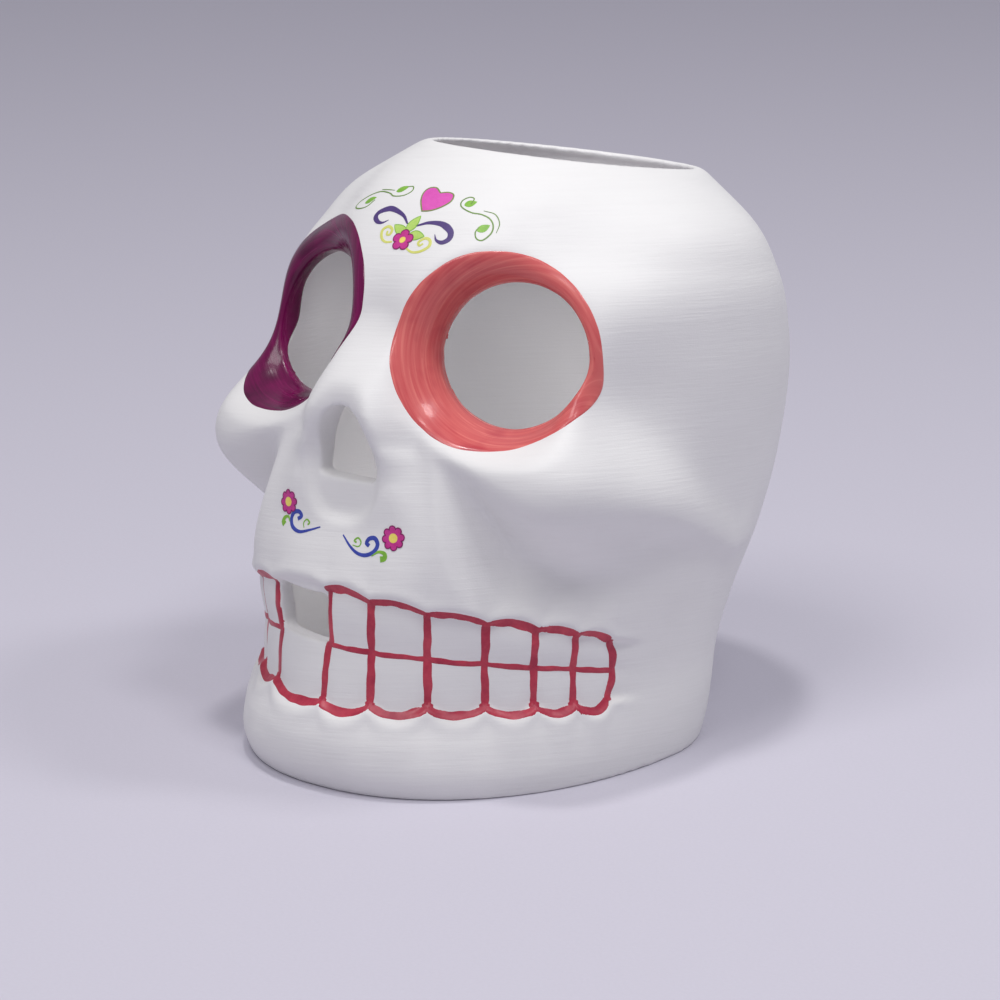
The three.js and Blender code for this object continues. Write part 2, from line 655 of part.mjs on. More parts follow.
// Brush lines that run into each other and dry as one film
function jawLines(strokes) {
  let joined = null;
  for (const { points, width } of strokes) {
    const line = stroke(points, () => width, onJaw);
    joined = joined ? joined.add(line) : line;
  }
  return film(LINE_COAT, joined);
}

// Upper teeth of one side: scallops, edges and the bite line, from a given tooth backwards
function upperOutline(side, edges, firstTooth) {
  const strokes = [];
  for (let tooth = firstTooth; tooth <= TEETH_PER_SIDE; tooth++) {
    const turn = side * edges[tooth];
    strokes.push({ points: edgeLine(turn, biteLine(turn), upperLine(turn)), width: TOOTH_LINE });
    if (tooth === TEETH_PER_SIDE) continue;
    const next = side * edges[tooth + 1];
    strokes.push({ points: scallop(turn, next, upperLine, UPPER_SCALLOP), width: TOOTH_LINE });
    strokes.push({ points: scallop(turn, next, biteLine, 0, 2), width: BITE_LINE });
  }
  return jawLines(strokes);
}

// Lower teeth of both sides: scallops and edges, stopping just under the bite line
function lowerOutline() {
  const strokes = [];
  const under = BITE_LINE / 2 + SEAT_GAP + LINE_FILM;
  for (const [side, edges] of [[1, LEFT_EDGES], [-1, RIGHT_EDGES]]) {
    for (let tooth = side === 1 ? 0 : 1; tooth <= TEETH_PER_SIDE; tooth++) {
      const turn = side * edges[tooth];
      strokes.push({ points: edgeLine(turn, lowerLine(turn), biteLine(turn) - under), width: TOOTH_LINE });
    }
    for (let tooth = 0; tooth < TEETH_PER_SIDE; tooth++) {
      const [from, to] = [side * edges[tooth], side * edges[tooth + 1]];
      strokes.push({ points: scallop(from, to, lowerLine, -LOWER_SCALLOP), width: TOOTH_LINE });
    }
  }
  return jawLines(strokes);
}

// Lay function for a transfer at the place on the casting that is seen from the front at x and z
function onFace(x, z, tilt = 0) {
  const ahead = new THREE.Vector3(x, -2 * DEPTH, z);
  const [hit] = new THREE.Raycaster(ahead, new THREE.Vector3(0, 1, 0)).intersectObject(casting);
  const out = hit.face.normal;
  const across = new THREE.Vector3(0, 0, 1).cross(out).normalize().applyAxisAngle(out, tilt);
  const up = out.clone().cross(across);
  return facing({ origin: hit.point, across, up, out }, WALL / 2);
}

// Petals as one outline with a round opening for the flower's eye
function petals(count, radius) {
  const outline = new THREE.Shape();
  const steps = count * 4;
  for (let step = 0; step < steps; step++) {
    const angle = (2 * Math.PI * step) / steps;
    const lobe = radius * (0.72 + 0.28 * Math.abs(Math.cos((count * angle) / 2)));
    const [x, y] = [lobe * Math.sin(angle), lobe * Math.cos(angle)];
    if (step === 0) outline.moveTo(x, y);
    else outline.lineTo(x, y);
  }
  const opening = new THREE.Path();
  opening.absarc(0, 0, FLOWER_EYE_SHARE * radius + SEAT_GAP, 0, 2 * Math.PI);
  outline.holes.push(opening);
  return outline;
}

function disc(radius) {
  return new THREE.Shape().absarc(0, 0, radius, 0, 2 * Math.PI);
}

function heart() {
  const half = HEART_WIDTH / 2;
  const low = -HEART_HEIGHT / 2;
  const high = HEART_HEIGHT / 2;
  const outline = new THREE.Shape();
  outline.moveTo(0, low);
  outline.bezierCurveTo(0.5 * half, 0.5 * low, half, 0.1 * low, half, 0.45 * high);
  outline.bezierCurveTo(half, 1.15 * high, 0.2 * half, 1.15 * high, 0, 0.5 * high);
  outline.bezierCurveTo(-0.2 * half, 1.15 * high, -half, 1.15 * high, -half, 0.45 * high);
  outline.bezierCurveTo(-half, 0.1 * low, -0.5 * half, 0.5 * low, 0, low);
  return outline;
}

// Pointed leaf from its stalk end to its tip
function leaf(length) {
  const outline = new THREE.Shape();
  outline.moveTo(0, 0);
  outline.quadraticCurveTo(LEAF_WIDTH, 0.45 * length, 0, length);
  outline.quadraticCurveTo(-LEAF_WIDTH, 0.45 * length, 0, 0);
  return outline;
}

// Curl that winds inwards by a number of turns
function curl(radius, turns, start) {
  const steps = Math.ceil(turns * 10);
  return Array.from({ length: steps + 1 }, (_, step) => {
    const share = step / steps;
    const angle = start + 2 * Math.PI * turns * share;
    const reach = radius * (1 - 0.75 * share);
    return [reach * Math.cos(angle), reach * Math.sin(angle)];
  });
}

// Smooth stroke through hand-set flat points
function through(points, steps) {
  const curve = new THREE.SplineCurve(points.map(([x, y]) => new THREE.Vector2(x, y)));
  return curve.getPoints(steps).map((point) => [point.x, point.y]);
}

// Flat points of a motif for one side of the face
function mirrored(points, side) {
  return points.map(([x, y]) => [side * x, y]);
}

// Width along a stroke that starts thin, swells and thins again
function tapered(width) {
  return (share) => width * (0.35 + 0.65 * Math.sin(Math.PI * Math.min(share + 0.15, 0.85)));
}

const FINISHES = {
  ceramic: { color: 0xe9e7e6, roughness: 0.75 },
  coral: { color: 0xcf5a55, roughness: 0.2 },
  plum: { color: 0x7c0c50, roughness: 0.15 },
  crimson: { color: 0xb2384a, roughness: 0.45 },
  pink: { color: 0xe05ab4, roughness: 0.5 },
  magenta: { color: 0xc8308c, roughness: 0.5 },
  lemon: { color: 0xf7e86e, roughness: 0.5 },
  leafGreen: { color: 0x8ec44a, roughness: 0.5 },
  violet: { color: 0x46346f, roughness: 0.5 },
  limeGreen: { color: 0xcdd75a, roughness: 0.5 },
  vineGreen: { color: 0x6f9a3c, roughness: 0.5 },
  blue: { color: 0x3c50b4, roughness: 0.5 },
};

const skull = new THREE.Group();

function add(name, geometry, finish) {
  const material = new THREE.MeshStandardMaterial({ ...FINISHES[finish], metalness: 0 });
  const mesh = new THREE.Mesh(geometry, material);
  mesh.name = name;
  skull.add(mesh);
  return mesh;
}

function addTransfer(name, cutter, finish) {
  return add(name, film(TRANSFER_COAT, cutter), finish);
}

const casting = add('skull_shell', skullShell(), 'ceramic');

const leftWobble = (angle) => 0.8 * Math.sin(2 * angle + 0.6) + 0.5 * Math.sin(5 * angle);
const rightWobble = (angle) => 0.7 * Math.sin(2 * angle - 0.4) + 0.5 * Math.cos(3 * angle);
add('left_eye_enamel', eyeEnamel(LEFT_EYE, LEFT_ENAMEL_WIDTH, leftWobble), 'coral');
add('right_eye_enamel', eyeEnamel(RIGHT_EYE, RIGHT_ENAMEL_WIDTH, rightWobble), 'plum');

add('upper_tooth_outline_left', upperOutline(1, LEFT_EDGES, 0), 'crimson');
add('upper_tooth_outline_right', upperOutline(-1, RIGHT_EDGES, 1), 'crimson');
add('lower_tooth_outline', lowerOutline(), 'crimson');

// Forehead spray: flower with three leaves between scrolls and curls, a heart above, a vine at each side
const SPRAY_X = 1.3;
const SPRAY_Z = 0.9197 * HEIGHT;
const SPRAY_TILT = THREE.MathUtils.degToRad(-4);
const onSpray = (dx, dz, tilt = 0) => onFace(SPRAY_X + dx, SPRAY_Z + dz, tilt);

addTransfer('forehead_heart', patch(heart(), onSpray(2.3, 9.6, -0.15), 4), 'pink');
addTransfer('forehead_flower_petals', patch(petals(5, FOREHEAD_FLOWER_RADIUS), onSpray(0, 0)), 'magenta');
const flowerEye = disc(FLOWER_EYE_SHARE * FOREHEAD_FLOWER_RADIUS);
addTransfer('forehead_flower_centre', patch(flowerEye, onSpray(0, 0)), 'lemon');

const leafStart = FOREHEAD_FLOWER_RADIUS + SEAT_GAP;
const LEAVES = [
  { name: 'right', around: 0.45, turn: 1.25, length: 2.6 },
  { name: 'top', around: -0.25, turn: -0.35, length: 4 },
  { name: 'left', around: -0.95, turn: -1.35, length: 2.8 },
];
for (const { name, around, turn, length } of LEAVES) {
  const lay = onSpray(-leafStart * Math.sin(around), leafStart * Math.cos(around), turn);
  addTransfer(`forehead_leaf_${name}`, patch(leaf(length), lay), 'leafGreen');
}

const scrollLine = through([[0, 0], [3.2, 2.2], [6.8, 2.6], [9.6, 0.6], [8.8, -1.8], [6.2, -1.2]], 11);
const vineLine = through([[0, 0], [4, -2.2], [9, -2.4], [12.6, -5.4], [11.6, -9], [9, -6.6]], 13);
const curlLine = curl(CURL_RADIUS, 1.1, 0.6 * Math.PI);
for (const [name, side] of [['left', 1], ['right', -1]]) {
  const drop = side * SPRAY_TILT;
  const line = (points, width, lay) => stroke(mirrored(points, side), tapered(width), lay);
  const scroll = onSpray(side * 3.4, 4.8 + 3.4 * drop, SPRAY_TILT);
  addTransfer(`forehead_scroll_${name}`, line(scrollLine, SCROLL_LINE, scroll), 'violet');
  const spiral = onSpray(side * 6.6, 6.6 * drop - 0.2);
  addTransfer(`forehead_curl_${name}`, line(curlLine, CURL_LINE, spiral), 'limeGreen');
  const vine = onSpray(side * 10.5, 9.8 + 5 * drop, SPRAY_TILT);
  addTransfer(`forehead_vine_${name}`, line(vineLine, VINE_LINE, vine), 'vineGreen');
}

// Upper lip sprays: a flower with a blue scroll towards the middle and two green tendrils
const lipScroll = through([[0, 0], [2.6, -3], [6.8, -4.2], [10, -1.7], [8.6, 0.9], [6.8, -0.7]], 13);
const innerTendril = curl(TENDRIL_RADIUS, 1, Math.PI);
const outerTendril = curl(TENDRIL_RADIUS, 1, 0.5 * Math.PI);
const LIP_SPRAYS = [
  { name: 'left', side: 1, x: 0.1383 * WIDTH, z: 0.4529 * HEIGHT, tilt: 0 },
  { name: 'right', side: -1, x: -0.1199 * WIDTH, z: 0.4778 * HEIGHT, tilt: 0.25 },
];
for (const { name, side, x, z, tilt } of LIP_SPRAYS) {
  const onLip = (dx, dz) => {
    const across = dx * Math.cos(tilt) - dz * Math.sin(tilt);
    const up = dx * Math.sin(tilt) + dz * Math.cos(tilt);
    return onFace(x + side * across, z + up, side * tilt);
  };
  const line = (points, width, lay) => stroke(mirrored(points, side), tapered(width), lay);
  const eye = disc(FLOWER_EYE_SHARE * LIP_FLOWER_RADIUS);
  addTransfer(`lip_flower_petals_${name}`, patch(petals(8, LIP_FLOWER_RADIUS), onLip(0, 0)), 'magenta');
  addTransfer(`lip_flower_centre_${name}`, patch(eye, onLip(0, 0)), 'lemon');
  addTransfer(`lip_scroll_${name}`, line(lipScroll, SCROLL_LINE, onLip(-14.4, -1)), 'blue');
  addTransfer(`lip_tendril_inner_${name}`, line(innerTendril, CURL_LINE, onLip(-10.4, -0.6)), 'vineGreen');
  addTransfer(`lip_tendril_outer_${name}`, line(outerTendril, CURL_LINE, onLip(-2.2, -6.6)), 'vineGreen');
}

// Stands the casting over the middle of its own outline
const box = new THREE.Box3().setFromObject(skull);
skull.position.y = -(box.min.y + box.max.y) / 2;
skull.updateMatrixWorld(true);

export default skull;
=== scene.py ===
"""Hollow ceramic sugar skull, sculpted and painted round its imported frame.

The casting is sculpted again at full detail, then it gets brushed enamel in its sockets, brush lines round
its teeth and small transfers on its forehead and upper lip. Sizes are millimetres until a mesh is made.
"""
import logging
import math
from dataclasses import dataclass, field
from enum import Enum
from typing import Callable, Sequence

import bpy
import numpy as np
from mathutils import Matrix, Vector
from mathutils.bvhtree import BVHTree


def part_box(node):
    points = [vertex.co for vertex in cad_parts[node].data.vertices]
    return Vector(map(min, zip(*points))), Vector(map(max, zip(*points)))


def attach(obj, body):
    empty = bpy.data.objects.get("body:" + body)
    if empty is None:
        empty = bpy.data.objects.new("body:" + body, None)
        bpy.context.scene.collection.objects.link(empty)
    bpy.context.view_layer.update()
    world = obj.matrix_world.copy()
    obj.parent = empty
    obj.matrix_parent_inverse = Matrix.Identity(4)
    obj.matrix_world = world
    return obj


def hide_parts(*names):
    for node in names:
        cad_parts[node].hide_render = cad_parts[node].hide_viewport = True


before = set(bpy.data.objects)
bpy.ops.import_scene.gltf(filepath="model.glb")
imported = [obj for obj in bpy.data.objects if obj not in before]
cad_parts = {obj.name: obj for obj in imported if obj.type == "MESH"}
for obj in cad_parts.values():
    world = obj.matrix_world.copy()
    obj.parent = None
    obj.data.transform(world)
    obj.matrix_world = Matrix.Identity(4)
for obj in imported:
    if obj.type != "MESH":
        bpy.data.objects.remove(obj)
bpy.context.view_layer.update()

MM = 0.001
LOG = logging.getLogger("skull")
Array = np.ndarray
Colour = tuple[float, float, float]
Point = tuple[float, float]
Spot = tuple[Array, Array]
UPWARDS = np.array([0.0, 0.0, 1.0])


class Side(Enum):
    """The skull's own left and right."""

    LEFT = 1
    RIGHT = -1


class Row(Enum):
    """Rows of teeth."""

    UPPER = 1
    LOWER = -1


def ramp(low: float, high: float, value: Array) -> Array:
    """Smooth step from 0 at one value to 1 at another.

    Args:
        low: Value at which the step starts.
        high: Value at which the step ends; it may be the smaller one.
        value: Where to read the step.

    Returns:
        The step, from 0 to 1.
    """
    share = np.clip((value - low) / (high - low), 0.0, 1.0)
    return share * share * (3.0 - 2.0 * share)


def swell(distance: Array, reach: Array) -> Array:
    """Bell curve that has faded to about a third at its reach."""
    return np.exp(-((distance / reach) ** 2))


def wander(rng: np.random.Generator, count: int, waves: float) -> Array:
    """Slow random drift of a hand along a stroke.

    Args:
        rng: Seeded source of chance.
        count: Number of places along the stroke.
        waves: About how many swings the drift makes.

    Returns:
        One value a place, within about -1 to 1.
    """
    along = np.linspace(0.0, 1.0, count)
    drift = np.zeros(count)
    for octave in (0.5, 1.0, 2.1):
        phase = rng.uniform(0.0, 2.0 * math.pi)
        drift += np.sin(2.0 * math.pi * waves * octave * along + phase) / (1.0 + octave)
    return drift / 1.5


def flat_axes(out: Array) -> tuple[Array, Array]:
    """Directions across and up on a face that looks out."""
    across = np.cross(UPWARDS, out)
    across /= np.linalg.norm(across)
    return across, np.cross(out, across)


def rotated(corners: Array, tilt: float) -> Array:
    """Flat corners turned anticlockwise."""
    return corners @ np.array([[math.cos(tilt), math.sin(tilt)], [-math.sin(tilt), math.cos(tilt)]])


def deselect() -> None:
    """Leaves object mode with nothing selected."""
    if bpy.context.object and bpy.context.object.mode != "OBJECT":
        bpy.ops.object.mode_set(mode="OBJECT")
    bpy.ops.object.select_all(action="DESELECT")


def activate(*objects: bpy.types.Object) -> None:
    """Selects these objects alone and makes the first one active."""
    deselect()
    for item in objects:
        item.select_set(True)
    bpy.context.view_layer.objects.active = objects[0]


def apply_modifier(piece: bpy.types.Object, kind: str, **settings: object) -> None:
    """Adds a modifier to a piece, sets it up and applies it.

    Args:
        piece: Object to change.
        kind: Blender's name for the kind of modifier.
        settings: Values for the modifier's own settings.
    """
    activate(piece)
    modifier = piece.modifiers.new(kind.lower(), kind)
    for name, value in settings.items():
        setattr(modifier, name, value)
    bpy.ops.object.modifier_apply(modifier=modifier.name)


def place_points(piece: bpy.types.Object, points: Array) -> None:
    """Writes points in millimetres to all of a piece's vertices."""
    piece.data.vertices.foreach_set("co", (np.asarray(points) * MM).ravel())
    piece.data.update()


def read_points(piece: bpy.types.Object) -> Array:
    """All of a piece's vertices in millimetres."""
    points = np.empty(len(piece.data.vertices) * 3)
    piece.data.vertices.foreach_get("co", points)
    return points.reshape(-1, 3) / MM


def modelled_sheet(name: str, columns: int, rows: int,
                   place: Callable[[Array, Array], Array]) -> bpy.types.Object:
    """Adds a grid, moves its corners to where they belong and closes its seams.

    Args:
        name: Name of the new piece.
        columns: Steps along the grid.
        rows: Steps across the grid.
        place: Gives the points in millimetres for the corners' column and row numbers.

    Returns:
        The new piece.
    """
    deselect()
    bpy.ops.mesh.primitive_grid_add(x_subdivisions=columns, y_subdivisions=rows, size=1.0)
    piece = bpy.context.object
    piece.name = name
    flat = read_points(piece) * MM + 0.5
    column, row = (np.rint(flat[:, axis] * steps).astype(int) for axis, steps in enumerate((columns, rows)))
    place_points(piece, place(column, row))
    bpy.ops.object.mode_set(mode="EDIT")
    bpy.ops.mesh.select_all(action="SELECT")
    bpy.ops.mesh.remove_doubles(threshold=1e-6)
    bpy.ops.object.mode_set(mode="OBJECT")
    return piece


def outward_faces(piece: bpy.types.Object) -> None:
    """Turns all faces of a closed piece outwards."""
    activate(piece)
    bpy.ops.object.mode_set(mode="EDIT")
    bpy.ops.mesh.select_all(action="SELECT")
    bpy.ops.mesh.normals_make_consistent(inside=False)
    bpy.ops.object.mode_set(mode="OBJECT")


def joined(name: str, pieces: Sequence[bpy.types.Object]) -> bpy.types.Object:
    """Joins pieces into one.

    Args:
        name: Name of the joined piece.
        pieces: What to join.

    Returns:
        The joined piece.
    """
    activate(*pieces)
    bpy.ops.object.join()
    bpy.context.object.name = name
    bpy.context.object.data.name = name
    return bpy.context.object


def smooth_shaded(piece: bpy.types.Object, angle: float) -> None:
    """Shades a piece smooth, apart from edges sharper than the angle in degrees."""
    activate(piece)
    bpy.ops.object.shade_smooth_by_angle(angle=math.radians(angle))


def hand_in(piece: bpy.types.Object, slot: str, *nodes: str) -> None:
    """Puts a finished piece in the place of its CAD nodes.

    Args:
        piece: The finished piece.
        slot: Not used.
        nodes: CAD nodes that it stands for.
    """
    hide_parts(*nodes)
    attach(piece, "root")
    LOG.info("%s: %d faces, for %s", piece.name, len(piece.data.polygons), ", ".join(nodes))


# Finishes


class Recipe:
    """Node tree of one material, with short ways to add and join nodes."""

    def __init__(self, name: str) -> None:
        """Starts a material with its shader and an Object coordinate."""
        self.material = bpy.data.materials.new(name)
        self.material.use_nodes = True
        self.tree = self.material.node_tree
        self.shader = self.tree.nodes["Principled BSDF"]
        self.place = self.add("ShaderNodeTexCoord").outputs["Object"]

    def add(self, kind: str, **settings: object) -> bpy.types.Node:
        """Adds a node and sets its own settings.

        Args:
            kind: Type of the node.
            settings: Values for the node's settings.

        Returns:
            The new node.
        """
        node = self.tree.nodes.new(kind)
        for name, value in settings.items():
            setattr(node, name, value)
        return node

    def feed(self, target: bpy.types.NodeSocket, source: object) -> None:
        """Links an output to an input, or sets the input to a value."""
        if isinstance(source, bpy.types.NodeSocket):
            self.tree.links.new(source, target)
        else:
            target.default_value = source

    def noise(self, scale: Sequence[float], detail: float = 3.0, roughness: float = 0.55,
              place: object = None) -> bpy.types.NodeSocket:
        """Noise with its own number of grains a metre along each axis.

        Args:
            scale: Grains a metre along X, Y and Z.
            detail: Number of finer layers.
            roughness: Strength of the finer layers.
            place: Coordinates to read, or None for the object's own.

        Returns:
            The noise, from 0 to 1.
        """
        mapping = self.add("ShaderNodeMapping")
        self.feed(mapping.inputs["Vector"], place or self.place)
        mapping.inputs["Scale"].default_value = scale
        grain = self.add("ShaderNodeTexNoise")
        grain.inputs["Scale"].default_value = 1.0
        grain.inputs["Detail"].default_value = detail
        grain.inputs["Roughness"].default_value = roughness
        self.feed(grain.inputs["Vector"], mapping.outputs["Vector"])
        return grain.outputs["Fac"]

    def math(self, operation: str, *values: object) -> bpy.types.NodeSocket:
        """One arithmetic step.

        Args:
            operation: Blender's name for the step.
            values: Numbers or outputs to work on.

        Returns:
            The result.
        """
        node = self.add("ShaderNodeMath", operation=operation)
        for target, value in zip(node.inputs, values):
            self.feed(target, value)
        return node.outputs[0]

    def spread(self, value: object, low: float, high: float, to_low: float,
               to_high: float) -> bpy.types.NodeSocket:
        """Stretches a value from one span to another, clamped.

        Args:
            value: The output to stretch.
            low: Start of the span that it has.
            high: End of the span that it has.
            to_low: Start of the new span.
            to_high: End of the new span.

        Returns:
            The stretched value.
        """
        node = self.add("ShaderNodeMapRange")
        for name, source in zip(("Value", "From Min", "From Max", "To Min", "To Max"),
                                (value, low, high, to_low, to_high)):
            self.feed(node.inputs[name], source)
        return node.outputs["Result"]

    def blend(self, share: object, first: object, second: object) -> bpy.types.NodeSocket:
        """Mixes two colours.

        Args:
            share: How much of the second colour.
            first: Colour at 0.
            second: Colour at 1.

        Returns:
            The mixed colour.
        """
        node = self.add("ShaderNodeMix", data_type="RGBA")
        self.feed(node.inputs["Factor"], share)
        for target, colour in zip((node.inputs[6], node.inputs[7]), (first, second)):
            self.feed(target, colour if isinstance(colour, bpy.types.NodeSocket) else (*colour, 1.0))
        return node.outputs[2]

    def bump(self, height: object, strength: float, distance: float,
             under: object = None) -> bpy.types.NodeSocket:
        """Relief in the shading, on top of other relief.

        Args:
            height: Output that gives the height.
            strength: How strongly it shows.
            distance: Height in metres of a full step.
            under: Relief that it lies on, or None.

        Returns:
            The new normal.
        """
        node = self.add("ShaderNodeBump")
        node.inputs["Strength"].default_value = strength
        node.inputs["Distance"].default_value = distance
        self.feed(node.inputs["Height"], height)
        if under:
            self.feed(node.inputs["Normal"], under)
        return node.outputs["Normal"]

    def finish(self, colour: object, roughness: object, normal: object = None) -> bpy.types.Material:
        """Feeds the shader.

        Args:
            colour: Base colour.
            roughness: Roughness.
            normal: Normal, or None.

        Returns:
            The finished material.
        """
        self.feed(self.shader.inputs["Base Color"], colour)
        self.feed(self.shader.inputs["Roughness"], roughness)
        if normal:
            self.feed(self.shader.inputs["Normal"], normal)
        return self.material


@dataclass(frozen=True)
class BrushedCeramic:
    """White paint brushed on bisque, with the marks of a broad soft brush, painted whiter on the cavity side
    as painted light for light bounced round inside.
    """

    light: Colour = (0.83, 0.825, 0.815)
    dull: Colour = (0.765, 0.755, 0.75)
    # inner: painted light, a whiter colour on the cavity side standing in for light bounced round inside the
    # skull
    inner: Colour = (0.96, 0.95, 0.955)
    stroke: tuple[float, float, float] = (55.0, 55.0, 1100.0)
    slant: float = 0.12

    def material(self) -> bpy.types.Material:
        """Makes the material."""
        recipe = Recipe("brushed_ceramic")
        turned = recipe.add("ShaderNodeMapping")
        turned.inputs["Rotation"].default_value = (self.slant, self.slant, 0.0)
        recipe.feed(turned.inputs["Vector"], recipe.place)
        marks = recipe.noise(self.stroke, 4.0, 0.6, turned.outputs["Vector"])
        patches = recipe.noise((38.0, 38.0, 60.0), 3.0)
        grain = recipe.noise((1700.0, 1700.0, 1700.0), 2.0)
        wet = recipe.spread(patches, 0.42, 0.66, 0.0, 1.0)
        colour = recipe.blend(recipe.spread(marks, 0.3, 0.7, 0.25, 0.0), self.light, self.dull)
        colour = recipe.blend(recipe.spread(patches, 0.35, 0.75, 0.0, 0.3), colour, self.dull)
        # Painted light: skin facing the cavity is lifted towards the whiter inner colour in place of bounced
        # light
        inside = recipe.add("ShaderNodeAttribute", attribute_name="inside").outputs["Fac"]
        colour = recipe.blend(inside, colour, self.inner)
        roughness = recipe.spread(recipe.math("ADD", wet, marks), 0.3, 1.5, 0.5, 0.68)
        relief = recipe.bump(grain, 0.10, 0.0002)
        relief = recipe.bump(marks, 0.32, 0.0003, relief)
        return recipe.finish(colour, roughness, relief)


@dataclass(frozen=True)
class GlossEnamel:
    """Thick gloss enamel drawn round a socket with a loaded brush."""

    name: str
    light: Colour
    middle: Colour
    dark: Colour
    roughness: float = 0.17

    def material(self, eye: Matrix) -> bpy.types.Material:
        """Makes the material.

        Args:
            eye: Places the eye's own axes in the row frame, in metres.

        Returns:
            The material.
        """
        recipe = Recipe(self.name)
        inverse = eye.inverted()
        own = recipe.add("ShaderNodeMapping")
        own.inputs["Location"].default_value = inverse.to_translation()
        own.inputs["Rotation"].default_value = inverse.to_euler()
        recipe.feed(own.inputs["Vector"], recipe.place)
        split = recipe.add("ShaderNodeSeparateXYZ")
        recipe.feed(split.inputs[0], own.outputs["Vector"])
        across, up, out = split.outputs
        angle = recipe.math("ARCTAN2", up, across)
        square = recipe.math("ADD", recipe.math("MULTIPLY", across, across), recipe.math("MULTIPLY", up, up))
        radius = recipe.math("SQRT", square)
        swept = recipe.add("ShaderNodeCombineXYZ")
        recipe.feed(swept.inputs[0], recipe.math("MULTIPLY", recipe.math("COSINE", angle), 0.02))
        recipe.feed(swept.inputs[1], recipe.math("MULTIPLY", recipe.math("SINE", angle), 0.02))
        recipe.feed(swept.inputs[2], recipe.math("ADD", radius, recipe.math("MULTIPLY", out, 0.6)))
        streaks = recipe.noise((40.0, 40.0, 800.0), 3.0, 0.6, swept.outputs[0])
        pools = recipe.noise((75.0, 75.0, 75.0), 2.0)
        grain = recipe.noise((900.0, 900.0, 900.0), 2.0)
        colour = recipe.blend(recipe.spread(streaks, 0.3, 0.7, 0.0, 1.0), self.middle, self.light)
        colour = recipe.blend(recipe.spread(pools, 0.5, 0.72, 0.0, 0.75), colour, self.dark)
        relief = recipe.bump(streaks, 0.25, 0.0004)
        relief = recipe.bump(grain, 0.05, 0.0002, relief)
        roughness = recipe.spread(streaks, 0.3, 0.7, self.roughness, self.roughness + 0.14)
        recipe.shader.inputs["Specular IOR Level"].default_value = 0.3
        recipe.shader.inputs["Coat Weight"].default_value = 0.14
        recipe.shader.inputs["Coat Roughness"].default_value = 0.06
        return recipe.finish(colour, roughness, relief)


@dataclass(frozen=True)
class BrushLine:
    """Thin crimson drawn with a pointed brush, denser where the brush slowed."""

    thin: Colour = (0.55, 0.045, 0.08)
    dense: Colour = (0.39, 0.015, 0.05)

    def material(self) -> bpy.types.Material:
        """Makes the material."""
        recipe = Recipe("crimson_brush_line")
        load = recipe.noise((170.0, 170.0, 170.0), 3.0)
        hairs = recipe.noise((900.0, 900.0, 900.0), 2.0)
        share = recipe.math("ADD", recipe.math("MULTIPLY", load, 0.75), recipe.math("MULTIPLY", hairs, 0.25))
        colour = recipe.blend(recipe.spread(share, 0.36, 0.64, 0.0, 1.0), self.thin, self.dense)
        relief = recipe.bump(hairs, 0.2, 0.0002)
        return recipe.finish(colour, recipe.spread(load, 0.3, 0.7, 0.32, 0.48), relief)


@dataclass(frozen=True)
class Transfer:
    """Printed colour of a water-slide transfer, with its fine print grain."""

    name: str
    colour: Colour
    shade: Colour

    def material(self) -> bpy.types.Material:
        """Makes the material."""
        recipe = Recipe(self.name)
        grain = recipe.noise((2600.0, 2600.0, 2600.0), 1.0)
        cloud = recipe.noise((420.0, 420.0, 420.0), 2.0)
        share = recipe.math("ADD", recipe.math("MULTIPLY", grain, 0.4), recipe.math("MULTIPLY", cloud, 0.6))
        colour = recipe.blend(recipe.spread(share, 0.38, 0.66, 0.0, 1.0), self.colour, self.shade)
        roughness = recipe.spread(grain, 0.3, 0.7, 0.38, 0.5)
        return recipe.finish(colour, roughness, recipe.bump(grain, 0.08, 0.0001))


class Inks:
    """The transfers' printed colours, each made once."""

    PINK = Transfer("pink_ink", (0.76, 0.11, 0.50), (0.68, 0.08, 0.44))
    OLIVE = Transfer("olive_ink", (0.24, 0.30, 0.08), (0.17, 0.22, 0.06))
    MAGENTA = Transfer("magenta_ink", (0.62, 0.045, 0.30), (0.50, 0.02, 0.22))
    WINE = Transfer("wine_ink", (0.24, 0.008, 0.12), (0.18, 0.005, 0.09))
    LEMON = Transfer("lemon_ink", (0.92, 0.80, 0.17), (0.86, 0.66, 0.12))
    LEAF = Transfer("leaf_ink", (0.50, 0.72, 0.17), (0.42, 0.64, 0.12))
    VINE = Transfer("vine_ink", (0.17, 0.31, 0.05), (0.12, 0.24, 0.04))
    BUD = Transfer("bud_ink", (0.25, 0.52, 0.05), (0.18, 0.42, 0.04))
    LIME = Transfer("lime_ink", (0.72, 0.74, 0.20), (0.64, 0.66, 0.15))
    VIOLET = Transfer("violet_ink", (0.085, 0.048, 0.21), (0.065, 0.035, 0.16))
    BLUE = Transfer("blue_ink", (0.045, 0.075, 0.42), (0.03, 0.05, 0.34))

    def __init__(self) -> None:
        """Starts with no ink made."""
        self.made: dict[str, bpy.types.Material] = {}

    def get(self, ink: Transfer) -> bpy.types.Material:
        """The material of an ink."""
        if ink.name not in self.made:
            self.made[ink.name] = ink.material()
        return self.made[ink.name]


# Form


@dataclass(frozen=True)
class Section:
    """One level of the head: where it is widest, and its reaches from there."""

    level: float
    centre: float
    half: float
    face: float
    back: float
    square: float


